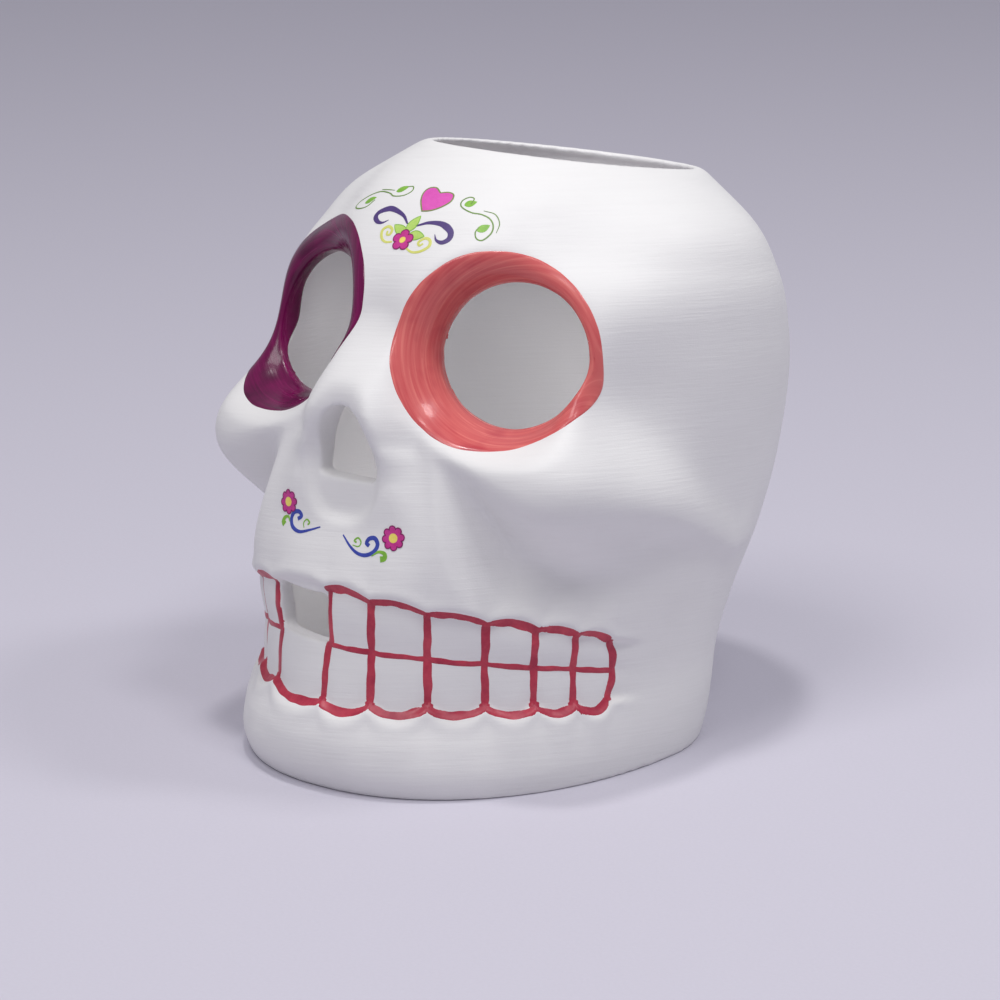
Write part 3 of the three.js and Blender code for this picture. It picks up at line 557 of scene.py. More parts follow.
@dataclass(frozen=True)
class Eye:
    """Round eye hole at the bottom of a flared socket, with its axes across, up and out."""

    side: Side
    spread: float = 34.0
    forward: float = 37.0
    level: float = 118.9
    turn: float = math.radians(15.0)
    lean: float = math.radians(15.0)
    radius: float = 20.5
    half_across: float = 21.5
    half_up: float = 20.2
    right_narrower: float = 2.0
    flare: float = 11.5
    curve: float = 1.7

    @property
    def origin(self) -> Array:
        """Middle of the hole."""
        return np.array([self.side.value * self.spread, -self.forward, self.level])

    @property
    def axes(self) -> tuple[Array, Array, Array]:
        """Directions across, up and out of the hole."""
        out = np.array([self.side.value * math.sin(self.turn) * math.cos(self.lean),
                        -math.cos(self.turn) * math.cos(self.lean), math.sin(self.lean)])
        return *flat_axes(out), out

    def hole(self, angle: Array) -> Array:
        """Radius of the hole at angles round it: oval, and cut narrower in the right socket."""
        across = self.half_across - (self.right_narrower if self.side is Side.RIGHT else 0.0)
        return 1.0 / np.hypot(np.cos(angle) / across, np.sin(angle) / self.half_up)


@dataclass(frozen=True)
class Teeth:
    """Two rows of teeth round the arch of the jaw, one upper tooth missing beside the middle."""

    forward: float = 28.0
    arch: float = 50.0
    turns: tuple[float, ...] = (16.5, 18.5, 18.5, 16.0, 13.0, 11.0)
    missing_turn: float = 26.0
    bite: float = 40.0
    upper_rise: float = 15.4
    lower_rise: float = 14.6
    fall: float = 9.4
    back_share: float = 0.56
    upper_scallop: float = 1.9
    lower_scallop: float = 3.4
    recess: float = 1.5
    groove: float = 0.9
    gum: float = 0.7

    def edges(self, side: Side) -> Array:
        """Turns of the tooth edges of one side, from the middle backwards."""
        first = self.turns[0] if side is Side.LEFT else self.missing_turn
        return side.value * np.radians(np.cumsum([0.0, first, *self.turns[1:]]))

    @property
    def count(self) -> int:
        """Teeth of one row on one side."""
        return len(self.turns)

    def back(self, turn: Array) -> Array:
        """How far back along the arch a turn lies, 1 at its end."""
        return np.minimum(np.abs(turn) / self.edges(Side.LEFT)[-1], 1.2)

    def bite_line(self, turn: Array) -> Array:
        """Height at which the rows meet."""
        return self.bite - self.fall * self.back(turn) ** 2

    def gum_line(self, turn: Array, row: Row) -> Array:
        """Height of the cusps between a row's gum scallops."""
        rise = self.upper_rise if row is Row.UPPER else self.lower_rise
        return self.bite_line(turn) + row.value * rise * (1.0 - (1.0 - self.back_share) * self.back(turn))

    def scallop(self, row: Row) -> float:
        """Height of a gum scallop, up or down."""
        return self.upper_scallop if row is Row.UPPER else -self.lower_scallop

    def relief(self, points: Array) -> Array:
        """Set-back rows, each tooth swelling between its edges, under rounded gums.

        Args:
            points: Places on the skin.

        Returns:
            How far each place moves.
        """
        turn = np.arctan2(points[:, 0], -self.forward - points[:, 1])
        edges = np.concatenate([self.edges(Side.RIGHT)[:0:-1], self.edges(Side.LEFT)])
        tooth = np.clip(np.searchsorted(edges, turn) - 1, 0, len(edges) - 2)
        share = np.clip((turn - edges[tooth]) / (edges[tooth + 1] - edges[tooth]), 0.0, 1.0)
        hump = np.sin(math.pi * share) ** 0.7
        bite = self.bite_line(turn)
        within = np.full(len(points), -9.0)
        for row in Row:
            gum = self.gum_line(turn, row) + self.scallop(row) * hump
            within = np.maximum(within, (points[:, 2] - bite) / (gum - bite))
        present = ramp(edges[-1] * 1.13, edges[-1] * 1.0, np.abs(turn))
        in_row = ramp(1.10, 0.97, within)
        crown = np.sin(math.pi * np.clip(within * 0.86 + 0.12, 0.0, 1.0)) ** 0.8
        valley = (2.0 * share - 1.0) ** 4
        push = -in_row * (self.recess * (1.0 - 0.85 * crown) + self.groove * valley)
        root = swell(within - 1.16, 0.13) + 0.7 * swell(within - 1.4, 0.35) * (1.0 - valley) * hump
        push += self.gum * root * np.where(within > 0.9, 1.0, 0.0) * ramp(0.95, 1.1, within)
        away = np.stack([np.sin(turn), -np.cos(turn), np.zeros_like(turn)], axis=1)
        return away * (push * present)[:, None]


@dataclass(frozen=True)
class SkullForm:
    """Sculpted skin of the casting, face towards -Y, standing on z = 0."""

    sections: tuple[Section, ...] = (
        Section(0.0, 0.0, 61.6, 81.0, 50.5, 2.15),
        Section(6.0, 0.6, 62.2, 84.5, 53.5, 2.15),
        Section(14.0, 1.4, 62.2, 85.5, 56.0, 2.05),
        Section(24.0, 2.6, 61.4, 83.2, 59.2, 1.92),
        Section(40.0, 6.0, 63.0, 83.6, 64.5, 1.97),
        Section(57.0, 10.2, 66.3, 87.6, 71.2, 2.15),
        Section(88.0, 16.7, 69.5, 81.8, 74.3, 2.75),
        Section(116.0, 18.5, 70.5, 78.0, 72.5, 2.25),
        Section(136.0, 19.0, 67.2, 64.2, 67.4, 2.0),
        Section(149.0, 21.5, 58.8, 52.8, 59.0, 1.95),
        Section(160.4, 30.3, 38.6, 42.6, 40.8, 2.0),
    )
    wall: float = 6.0
    rim_wall: float = 4.5
    floor: float = 7.0
    fillet: float = 5.0
    crown_tilt: float = math.radians(10.5)
    tilt_from: float = 57.0
    muzzle_half: float = 24.0
    muzzle_level: float = 93.0
    nose_reach: float = 11.5
    nose_foot: float = 85.2
    nose_height: float = 20.9
    nose_half: float = 9.6
    nose_sill: float = 1.5
    nose_bevel: float = 2.4
    nose_point: float = 0.86
    nose_fade: Point = (116.0, 104.0)
    saddle: float = 6.0
    saddle_level: float = 121.0
    saddle_spread: Point = (13.0, 15.0)
    cheek_place: Point = (53.2, -46.0)
    cheek_level: float = 88.0
    cheek_knob: float = 7.2
    cheek_spread: float = 19.0
    cheek_over: float = 14.0
    cheek_under: float = 22.0
    arch_start: float = -50.0
    arch_length: float = 70.0
    arch_reach: float = 5.35
    arch_fall: float = 29.6
    arch_thick: float = 12.0
    arch_thinning: float = 8.0
    hollow_depth: float = 13.2
    hollow_ring: Point = (28.4, 35.9)
    hollow_top: float = 99.5
    hollow_slope: float = 0.48
    hollow_flank: float = 10.5
    hollow_width: float = 13.0
    hollow_fading: float = 26.0
    hollow_foot: Point = (42.0, 66.0)
    hollow_head: Point = (112.0, 98.0)
    temple_place: Point = (-23.0, 106.0)
    temple_spread: float = 20.0
    temple_depth: float = 6.6
    forehead_place: tuple[float, float, float] = (46.0, -20.0, 151.0)
    forehead_spread: tuple[float, float, float] = (20.0, 24.0, 14.0)
    forehead_pinch: float = 5.0
    eye: Eye = Eye(Side.LEFT)
    teeth: Teeth = Teeth()

    @property
    def crown(self) -> float:
        """Level of the cut crown."""
        return self.sections[-1].level

    def measure(self, level: Array, name: str) -> Array:
        """One measure of the head at any level, on a smooth curve through the sections."""
        levels = np.array([section.level for section in self.sections])
        values = np.array([getattr(section, name) for section in self.sections])
        slopes = np.gradient(values, levels)
        index = np.clip(np.searchsorted(levels, level) - 1, 0, len(levels) - 2)
        span = levels[index + 1] - levels[index]
        t = np.clip((level - levels[index]) / span, 0.0, 1.0)
        ends = (2 * t**3 - 3 * t**2 + 1) * values[index] + (3 * t**2 - 2 * t**3) * values[index + 1]
        bends = (t**3 - 2 * t**2 + t) * slopes[index] + (t**3 - t**2) * slopes[index + 1]
        return ends + span * bends

    def plain(self, turn: Array, level: Array, inset: float = 0.0) -> Array:
        """Head without features.

        Args:
            turn: 0 at the face, growing towards +X.
            level: Height before the crown's tilt.
            inset: How far the section is drawn in.

        Returns:
            One point a row.
        """
        towards = np.cos(turn)
        half = self.measure(level, "half") - inset
        reach = np.where(towards > 0, self.measure(level, "face"), self.measure(level, "back")) - inset
        power = np.where(towards > 0, self.measure(level, "square"), 2.0)
        radius = (np.abs(np.sin(turn)) / half) ** power + (np.abs(towards) / reach) ** power
        radius = radius ** (-1.0 / power)
        tilt = math.tan(self.crown_tilt) * ramp(self.tilt_from, self.crown, level)
        y = self.measure(level, "centre") - radius * towards
        return np.stack([radius * np.sin(turn), y, level + tilt * radius * towards], axis=1)

    def plain_normal(self, turn: Array, level: Array) -> Array:
        """Outward direction of the head without features."""
        around = self.plain(turn + 0.01, level) - self.plain(turn - 0.01, level)
        over, under = np.minimum(level + 0.4, self.crown), np.maximum(level - 0.4, 0.0)
        upward = self.plain(turn, over) - self.plain(turn, under)
        normal = np.cross(around, upward)
        return normal / np.linalg.norm(normal, axis=1)[:, None]

    def socket(self, p: Array) -> Array:
        """Dish that sinks to the flat circle of the eye hole."""
        eye = self.eye
        across, up, out = eye.axes
        offset = p - eye.origin
        radius = np.hypot(offset @ across, offset @ up)
        sunk = np.clip((eye.radius + eye.flare - radius) / eye.flare, 0.0, 1.0) ** eye.curve
        depth = -(offset @ out) * sunk * ramp(eye.forward, 0.0, p[:, 1])
        return depth[:, None] * out

    def muzzle(self, z: Array) -> Array:
        """Half width of the muzzle's front, from the nose down to the teeth."""
        below, above = np.maximum(self.muzzle_level - z, 0.0), np.maximum(z - self.muzzle_level, 0.0)
        return self.muzzle_half + 0.33 * below - 0.62 * above

    def nose(self, p: Array, depth: float) -> Array:
        """Raised arch round the nose hole, standing out most at its top, under a saddle between the eyes."""
        x, z = p[:, 0], p[:, 2]
        up = np.maximum(z - self.nose_foot, 0.0) / self.nose_height
        ring = ((x / self.nose_half) ** 2.1 + up**2.1) ** (1.0 / 2.1) + depth / self.nose_half
        edge = self.muzzle(z) - 1.5
        front = ramp(edge + depth, edge - 10.0, x) * ramp(*self.nose_fade, z)
        collar = np.maximum(1.0 - ramp(1.1, 2.2, ring), front)
        stand = self.nose_reach * (0.3 + 0.7 * ramp(0.0, 1.0, up))
        stand = stand * ramp(self.nose_foot - 15.0, self.nose_foot + 1.0, z)
        if depth == 0.0:
            lip = np.where(z > self.nose_foot, up, (self.nose_foot - z) / 9.0)
            rim = ((x / self.nose_half) ** 2.4 + lip**2.4) ** (1 / 2.4)
            stand = stand - self.nose_bevel * ramp(1.38, 0.95, rim)
        else:
            stand = stand * 0.5
        wide, high = self.saddle_spread
        saddle = self.saddle * swell(x, wide + depth) * swell(z - self.saddle_level, high + depth)
        push = (stand * collar - saddle) * ramp(0.0, -40.5, p[:, 1])
        return push[:, None] * np.array([0.0, -1.0, 0.0])

    def cheekbone(self, p: Array, depth: float) -> Array:
        """Knob below the eye, and the arch that runs back and down from it."""
        x, y, z = p.T
        along = (x - self.cheek_place[0]) * 0.7 + (y - self.cheek_place[1]) * 0.72
        height = z - self.cheek_level
        tall = np.where(height > 0, self.cheek_over, self.cheek_under)
        knob = swell(along, self.cheek_spread) * swell(height, tall) * ramp(19.0, -19.0, y)
        push = (self.cheek_knob * knob)[:, None] * np.array([0.62, -0.78, 0.05])
        back = np.clip((y - self.arch_start) / self.arch_length, 0.0, 1.0)
        thick = self.arch_thick - self.arch_thinning * back + depth
        gap = z - (self.cheek_level - self.arch_fall * back**1.4)
        ridge = swell(gap, np.where(gap > 0, 1.8 * thick, thick))
        strength = ramp(-78.0, -22.0, y) * (1.0 - 0.6 * ramp(-22.0, 20.0, y)) * ramp(44.0, 20.0, y)
        push[:, 0] += self.arch_reach * ridge * strength * self.wall / (self.wall + depth)
        return push

    def hollow(self, p: Array, depth: float) -> Array:
        """Deep hollow beside the muzzle, under the eye and the cheekbone."""
        x, y, z = p.T
        across, up, _ = self.eye.axes
        offset = p - self.eye.origin
        start, end = self.hollow_ring
        below = ramp(start - depth, end, np.hypot(offset @ across, offset @ up))
        soft = 10.0 + depth + 0.6 * np.maximum(x - self.muzzle_half, 0.0)
        below *= ramp(0.0, 1.0, (self.hollow_top - self.hollow_slope * (x - 22.0) - z + depth) / soft)
        muzzle = np.maximum(self.muzzle(z), self.muzzle_half)
        flank = ramp(0.0, 1.0, (x - muzzle + depth) / (self.hollow_flank + depth))
        outside = np.maximum(x - muzzle - self.hollow_width, 0.0)
        beyond = swell(outside, self.hollow_fading) * ramp(12.0, -40.0, y)
        foot, full = self.hollow_foot
        fade = ramp(foot - depth, full, z) * ramp(*self.hollow_head, z)
        return (self.hollow_depth * below * flank * beyond * fade)[:, None] * np.array([-0.2, 0.98, 0.0])

    def temple(self, p: Array) -> Array:
        """Shallow hollow behind the eye."""
        y, z = self.temple_place
        nearby = swell(p[:, 1] - y, self.temple_spread) * swell(p[:, 2] - z, self.temple_spread)
        nearby *= ramp(40.0, 55.0, p[:, 0])
        return (self.temple_depth * nearby)[:, None] * np.array([-1.0, 0.0, 0.0])

    def forehead_side(self, p: Array) -> Array:
        """Narrowing beside the forehead."""
        nearby = np.prod(swell(p - np.array(self.forehead_place), np.array(self.forehead_spread)), axis=1)
        return (self.forehead_pinch * nearby)[:, None] * np.array([-0.7, 0.5, -0.5])

    def sculpted(self, base: Array, depth: float) -> Array:
        """Adds the features to points of the plain head.

        Args:
            base: Points of the plain head.
            depth: 0 on the outside, the wall on the softer inside.

        Returns:
            The moved points.
        """
        side = np.where(base[:, 0] < 0, -1.0, 1.0)
        p = base.copy()
        p[:, 0] = np.abs(p[:, 0])
        moved = p + self.socket(p) + self.nose(p, depth) + self.cheekbone(p, depth) + self.hollow(p, depth)
        moved += self.temple(p) + self.forehead_side(p)
        moved[:, 0] = np.maximum(moved[:, 0], 0.0) * side
        if depth == 0.0:
            moved += self.teeth.relief(base)
        return moved

    def outer(self, turn: Array, level: Array) -> Array:
        """Outside skin."""
        return self.sculpted(self.plain(turn, level), 0.0)

    def inner(self, turn: Array, level: Array) -> Array:
        """Inside skin."""
        return self.sculpted(self.plain(turn, level), self.wall) - self.wall * self.plain_normal(turn, level)


class Skin:
    """Finished outside of the casting, for laying paint and transfers on."""

    FAR = 300.0
    JAW_CLEAR = 140.0
    ABOVE = 4.0
    NEAR = 5.0

    def __init__(self, body: bpy.types.Object, shift: float) -> None:
        """Reads the finished body; shift is the form's place along Y in the row frame."""
        self.shift = shift
        self.tree = BVHTree.FromObject(body, bpy.context.evaluated_depsgraph_get())

    def cast(self, start: Array, direction: Array) -> Spot:
        """First place that a ray meets.

        Args:
            start: Where the ray starts, in millimetres.
            direction: Where it goes.

        Returns:
            The place in millimetres and the outward direction there.
        """
        hit, normal, _, _ = self.tree.ray_cast(Vector(start) * MM, Vector(direction).normalized())
        if hit is None:
            raise ValueError(f"nothing under {start} towards {direction}")
        return np.array(hit) / MM, np.array(normal)

    def front(self, x: float, z: float) -> Spot:
        """Place seen from the front at x and z."""
        return self.cast(np.array([x, -self.FAR, z]), np.array([0.0, 1.0, 0.0]))

    def jaw(self, turn: float, height: float, teeth: Teeth) -> Spot:
        """Place on the jaw at a turn round its arch and a height."""
        outwards = np.array([math.sin(turn), -math.cos(turn), 0.0])
        middle = np.array([0.0, self.shift - teeth.forward, height])
        return self.cast(middle + self.JAW_CLEAR * outwards, -outwards)

    def under(self, point: Array, normal: Array) -> Array:
        """Place on the skin straight under a point."""
        hit = self.cast(point + self.ABOVE * normal, -normal)[0]
        return hit if np.linalg.norm(hit - point) < self.NEAR else point


@dataclass
class Brush:
    """Lays strokes and flat figures on the skin as closed thin pieces."""

    skin: Skin
    lift: float = 0.1
    depth: float = 0.3
    pieces: list[bpy.types.Object] = field(default_factory=list)

    def stroke(self, spots: Sequence[Spot], widths: Array, dome: float,
               material: bpy.types.Material, lift: float | None = None) -> None:
        """Lays one stroke.

        Args:
            spots: Places along its middle, with the outward direction at each.
            widths: Width at each place.
            dome: How much the paint stands up in the middle.
            material: Its finish.
            lift: Height of its edges over the skin, or None for the brush's own.
        """
        middle = np.array([spot[0] for spot in spots])
        normals = np.array([spot[1] for spot in spots])
        kernel = np.ones(7) / 7.0
        padded = np.pad(normals, ((3, 3), (0, 0)), mode="edge")
        normals = np.stack([np.convolve(padded[:, axis], kernel, "valid") for axis in range(3)], axis=1)
        normals /= np.linalg.norm(normals, axis=1)[:, None]
        along = np.gradient(middle, axis=0)
        sideways = np.cross(normals, along)
        sideways /= np.linalg.norm(sideways, axis=1)[:, None]
        base = self.lift if lift is None else lift
        rows = 6
        points = np.empty((len(spots), rows + 1, 3))
        for index in range(len(spots)):
            for row in range(rows + 1):
                share = 2.0 * row / rows - 1.0
                aside = middle[index] + sideways[index] * (share * widths[index] / 2.0)
                height = base + dome * (1.0 - share * share)
                points[index, row] = self.skin.under(aside, normals[index]) + normals[index] * height
        sheet = modelled_sheet("stroke", len(spots) - 1, rows, lambda column, row: points[column, row])
        self.keep(sheet, material, normals[len(spots) // 2])

    def figure(self, spot: Spot, outline: Array, material: bpy.types.Material, rings: int = 3,
               tilt: float = 0.0, hole: float = 0.0, lift: float | None = None) -> None:
        """Lays one filled figure.

        Args:
            spot: Place and outward direction of its middle.
            outline: Closed outline round the middle, one flat corner a row.
            material: Its finish.
            rings: Steps from the middle to the outline.
            tilt: How far it is turned, anticlockwise.
            hole: Radius of a round opening in its middle.
            lift: Height over the skin, or None for the brush's own.
        """
        origin, out = spot
        across, up = flat_axes(out)
        base = self.lift if lift is None else lift
        turned = rotated(outline, tilt)
        reach = np.linalg.norm(turned, axis=1)[:, None]
        inner = turned / reach * hole

        def place(column: Array, row: Array) -> Array:
            flat = inner[column % len(turned)] * (1.0 - row / rings)[:, None]
            flat = flat + turned[column % len(turned)] * (row / rings)[:, None]
            laid = [self.skin.under(origin + across * a + up * b, out) + out * base for a, b in flat]
            return np.array(laid)

        self.keep(modelled_sheet("figure", len(turned), rings, place), material, out)

    def keep(self, sheet: bpy.types.Object, material: bpy.types.Material, out: Array) -> None:
        """Turns a sheet outwards, gives it its underside and its finish, and keeps it."""
        normals = np.array([face.normal for face in sheet.data.polygons])
        if (normals @ out).sum() < 0:
            sheet.data.flip_normals()
        apply_modifier(sheet, "SOLIDIFY", thickness=self.depth * MM, offset=-1.0)
        sheet.data.materials.clear()
        sheet.data.materials.append(material)
        self.pieces.append(sheet)

    def finish(self, name: str) -> bpy.types.Object:
        """Joins what was laid into one piece.

        Args:
            name: Name of the piece.

        Returns:
            The piece.
        """
        piece = joined(name, self.pieces)
        self.pieces = []
        smooth_shaded(piece, 50.0)
        return piece


# Sub-assemblies


@dataclass
class Casting:
    """The hollow ceramic skull with its open crown, eyes, nose and tooth gap."""

    form: SkullForm
    columns: int = 440
    crowding: float = 0.2
    rim_round: float = 1.3
    rim_inner: float = 2.4
    voxel: float = 0.68
    smoothing: int = 8
    triangles: int = 190000
    plug_length: float = 80.0
    eye_plug_length: float = 70.0
    nose_start: float = -110.0
    gap_middle: float = -62.0
    gap_round: float = 1.6
    gap_side: float = 2.4
    cavity_back: float = 18.0
    cavity_level: float = 80.0
    body: bpy.types.Object = field(init=False)
    shift: float = field(init=False)

    def levels(self) -> tuple[Array, Array]:
        """Levels of the rows outside, from the table up, and inside, from the rim down."""
        form = self.form
        dome = form.sections[-2].level
        outside = np.concatenate([np.linspace(0.0, dome, 170)[:-1], np.linspace(dome, form.crown, 40)])
        inside = np.concatenate([np.linspace(form.crown - 3.0, dome, 16)[:-1],
                                 np.linspace(dome, form.floor + form.fillet, 90)])
        return outside, inside

    def roll(self) -> bpy.types.Object:
        """Rolls a sheet up into the closed wall: under, outside, rim, inside and floor."""
        form = self.form
        outside, inside = self.levels()
        share = np.arange(self.columns) / self.columns
        turns = 2.0 * math.pi * share - 2.0 * self.crowding * np.sin(2.0 * math.pi * share)
        full = np.ones(self.columns)
        rows = [np.zeros((self.columns, 3))]
        rows += [form.outer(turns, level * full) for level in outside if level < form.crown - self.rim_round]
        for lean in np.radians(np.linspace(0.0, 180.0, 13)):
            far = lean > 0.5 * math.pi
            radius = self.rim_inner if far else self.rim_round
            level = form.crown - radius * (1.0 - math.sin(lean))
            inset = radius * (1.0 - math.cos(lean))
            if far:
                inset = form.rim_wall - radius * (1.0 + math.cos(lean))
            rows.append(form.sculpted(form.plain(turns, level * full, inset), 0.0))
        rows += [form.inner(turns, level * full) for level in inside]
        lowest = form.plain(turns, (form.floor + form.fillet) * full, form.wall + form.fillet)
        lowest[:, 2] = form.floor
        rows += [lowest, np.tile([0.0, 0.0, form.floor], (self.columns, 1))]
        grid = np.array(rows)
        self.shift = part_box("skull_shell")[1].y / MM - grid[1:, :, 1].max()
        grid[:, :, 1] += self.shift
        return modelled_sheet("casting", self.columns, len(rows) - 1,
                              lambda column, row: grid[row, column % self.columns])

    def eye_plug(self, eye: Eye) -> bpy.types.Object:
        """Round plug through an eye socket."""
        across, up, out = eye.axes
        deselect()
        bpy.ops.mesh.primitive_cylinder_add(vertices=128, radius=eye.radius, depth=self.eye_plug_length)
        plug = bpy.context.object
        local = read_points(plug) * MM
        local[:, :2] *= (eye.hole(np.arctan2(local[:, 1], local[:, 0])) / eye.radius)[:, None]
        origin = eye.origin + np.array([0.0, self.shift, 0.0])
        place_points(plug, origin + local[:, :1] * across + local[:, 1:2] * up + local[:, 2:] * out)
        return plug

    def nose_plug(self) -> bpy.types.Object:
        """Arched plug through the nose."""
        form = self.form
        deselect()
        bpy.ops.mesh.primitive_circle_add(vertices=96, radius=1.0, fill_type="NGON")
        plug = bpy.context.object
        flat = read_points(plug) * MM
        angle = np.arctan2(flat[:, 1], flat[:, 0])
        up = np.sin(angle)
        point = np.where(up > 0, form.nose_point, 0.22)
        x = form.nose_half * np.sign(np.cos(angle)) * np.abs(np.cos(angle)) ** point
        arch = (form.nose_height - form.nose_sill) * np.abs(up) ** form.nose_point
        z = np.where(up > 0, arch, -form.nose_sill * np.abs(up) ** 0.5)
        z = z + form.nose_foot + form.nose_sill
        place_points(plug, np.stack([x, np.full_like(x, self.nose_start), z], axis=1))
        bpy.ops.object.mode_set(mode="EDIT")
        bpy.ops.mesh.select_all(action="SELECT")
        bpy.ops.mesh.extrude_region_move(TRANSFORM_OT_translate={"value": (0.0, self.plug_length * MM, 0.0)})
        bpy.ops.object.mode_set(mode="OBJECT")
        outward_faces(plug)
        return plug

    def tooth_plug(self) -> bpy.types.Object:
        """Plug for the gap of the missing upper tooth."""
        teeth = self.form.teeth
        gap = math.radians(teeth.missing_turn)
        middle = -gap / 2.0
        low = float(teeth.bite_line(np.array(middle))) + 0.5
        high = float(teeth.gum_line(np.array(middle), Row.UPPER)) - 0.4
        width = 1.02 * teeth.arch * gap - self.gap_side
        deselect()
        bpy.ops.mesh.primitive_cube_add(size=1.0)
        plug = bpy.context.object
        plug.scale = (width * MM, self.plug_length * MM, (high - low) * MM)
        bpy.ops.object.transform_apply(location=False, rotation=False, scale=True)
        bpy.ops.object.mode_set(mode="EDIT")
        bpy.ops.mesh.select_all(action="SELECT")
        bpy.ops.mesh.bevel(offset=self.gap_round * MM, segments=4)
        bpy.ops.object.mode_set(mode="OBJECT")
        local = read_points(plug) + np.array([0.0, self.gap_middle, (low + high) / 2.0])
        x = local[:, 0] * math.cos(middle) - local[:, 1] * math.sin(middle)
        y = local[:, 0] * math.sin(middle) + local[:, 1] * math.cos(middle) - teeth.forward + self.shift
        place_points(plug, np.stack([x, y, local[:, 2]], axis=1))
        return plug

    def build(self) -> bpy.types.Object:
        """Rolls, cuts and smooths the casting."""
        body = self.roll()
        outward_faces(body)
        plugs = [self.eye_plug(Eye(side)) for side in Side] + [self.nose_plug(), self.tooth_plug()]
        for plug in plugs:
            apply_modifier(body, "BOOLEAN", operation="DIFFERENCE", solver="EXACT", object=plug)
            bpy.data.objects.remove(plug)
        apply_modifier(body, "REMESH", mode="VOXEL", voxel_size=self.voxel * MM)
        apply_modifier(body, "SMOOTH", factor=0.5, iterations=self.smoothing)
        corners = sum(len(face.vertices) - 2 for face in body.data.polygons)
        apply_modifier(body, "DECIMATE", ratio=min(1.0, self.triangles / corners))
        activate(body)
        bpy.ops.object.shade_smooth()
        self.body = body
        self.mark_inside()
        return body

    def mark_inside(self) -> None:
        """Marks the skin that faces the cavity, which the finish paints whiter as painted light for the light
        bounced round inside.
        """
        normals = np.empty(len(self.body.data.vertices) * 3)
        self.body.data.vertices.foreach_get("normal", normals)
        heart = np.array([0.0, self.shift + self.cavity_back, self.cavity_level])
        outwards = (read_points(self.body) - heart) * np.array([1.0, 1.0, 0.5])
        outwards /= np.linalg.norm(outwards, axis=1)[:, None]
        facing = np.sum(normals.reshape(-1, 3) * outwards, axis=1)
        mark = self.body.data.attributes.new("inside", "FLOAT", "POINT")
        mark.data.foreach_set("value", ramp(0.0, -0.35, facing))

    def dress(self) -> None:
        """Gives the casting its brushed white."""
        self.body.data.materials.clear()
        self.body.data.materials.append(BrushedCeramic().material())


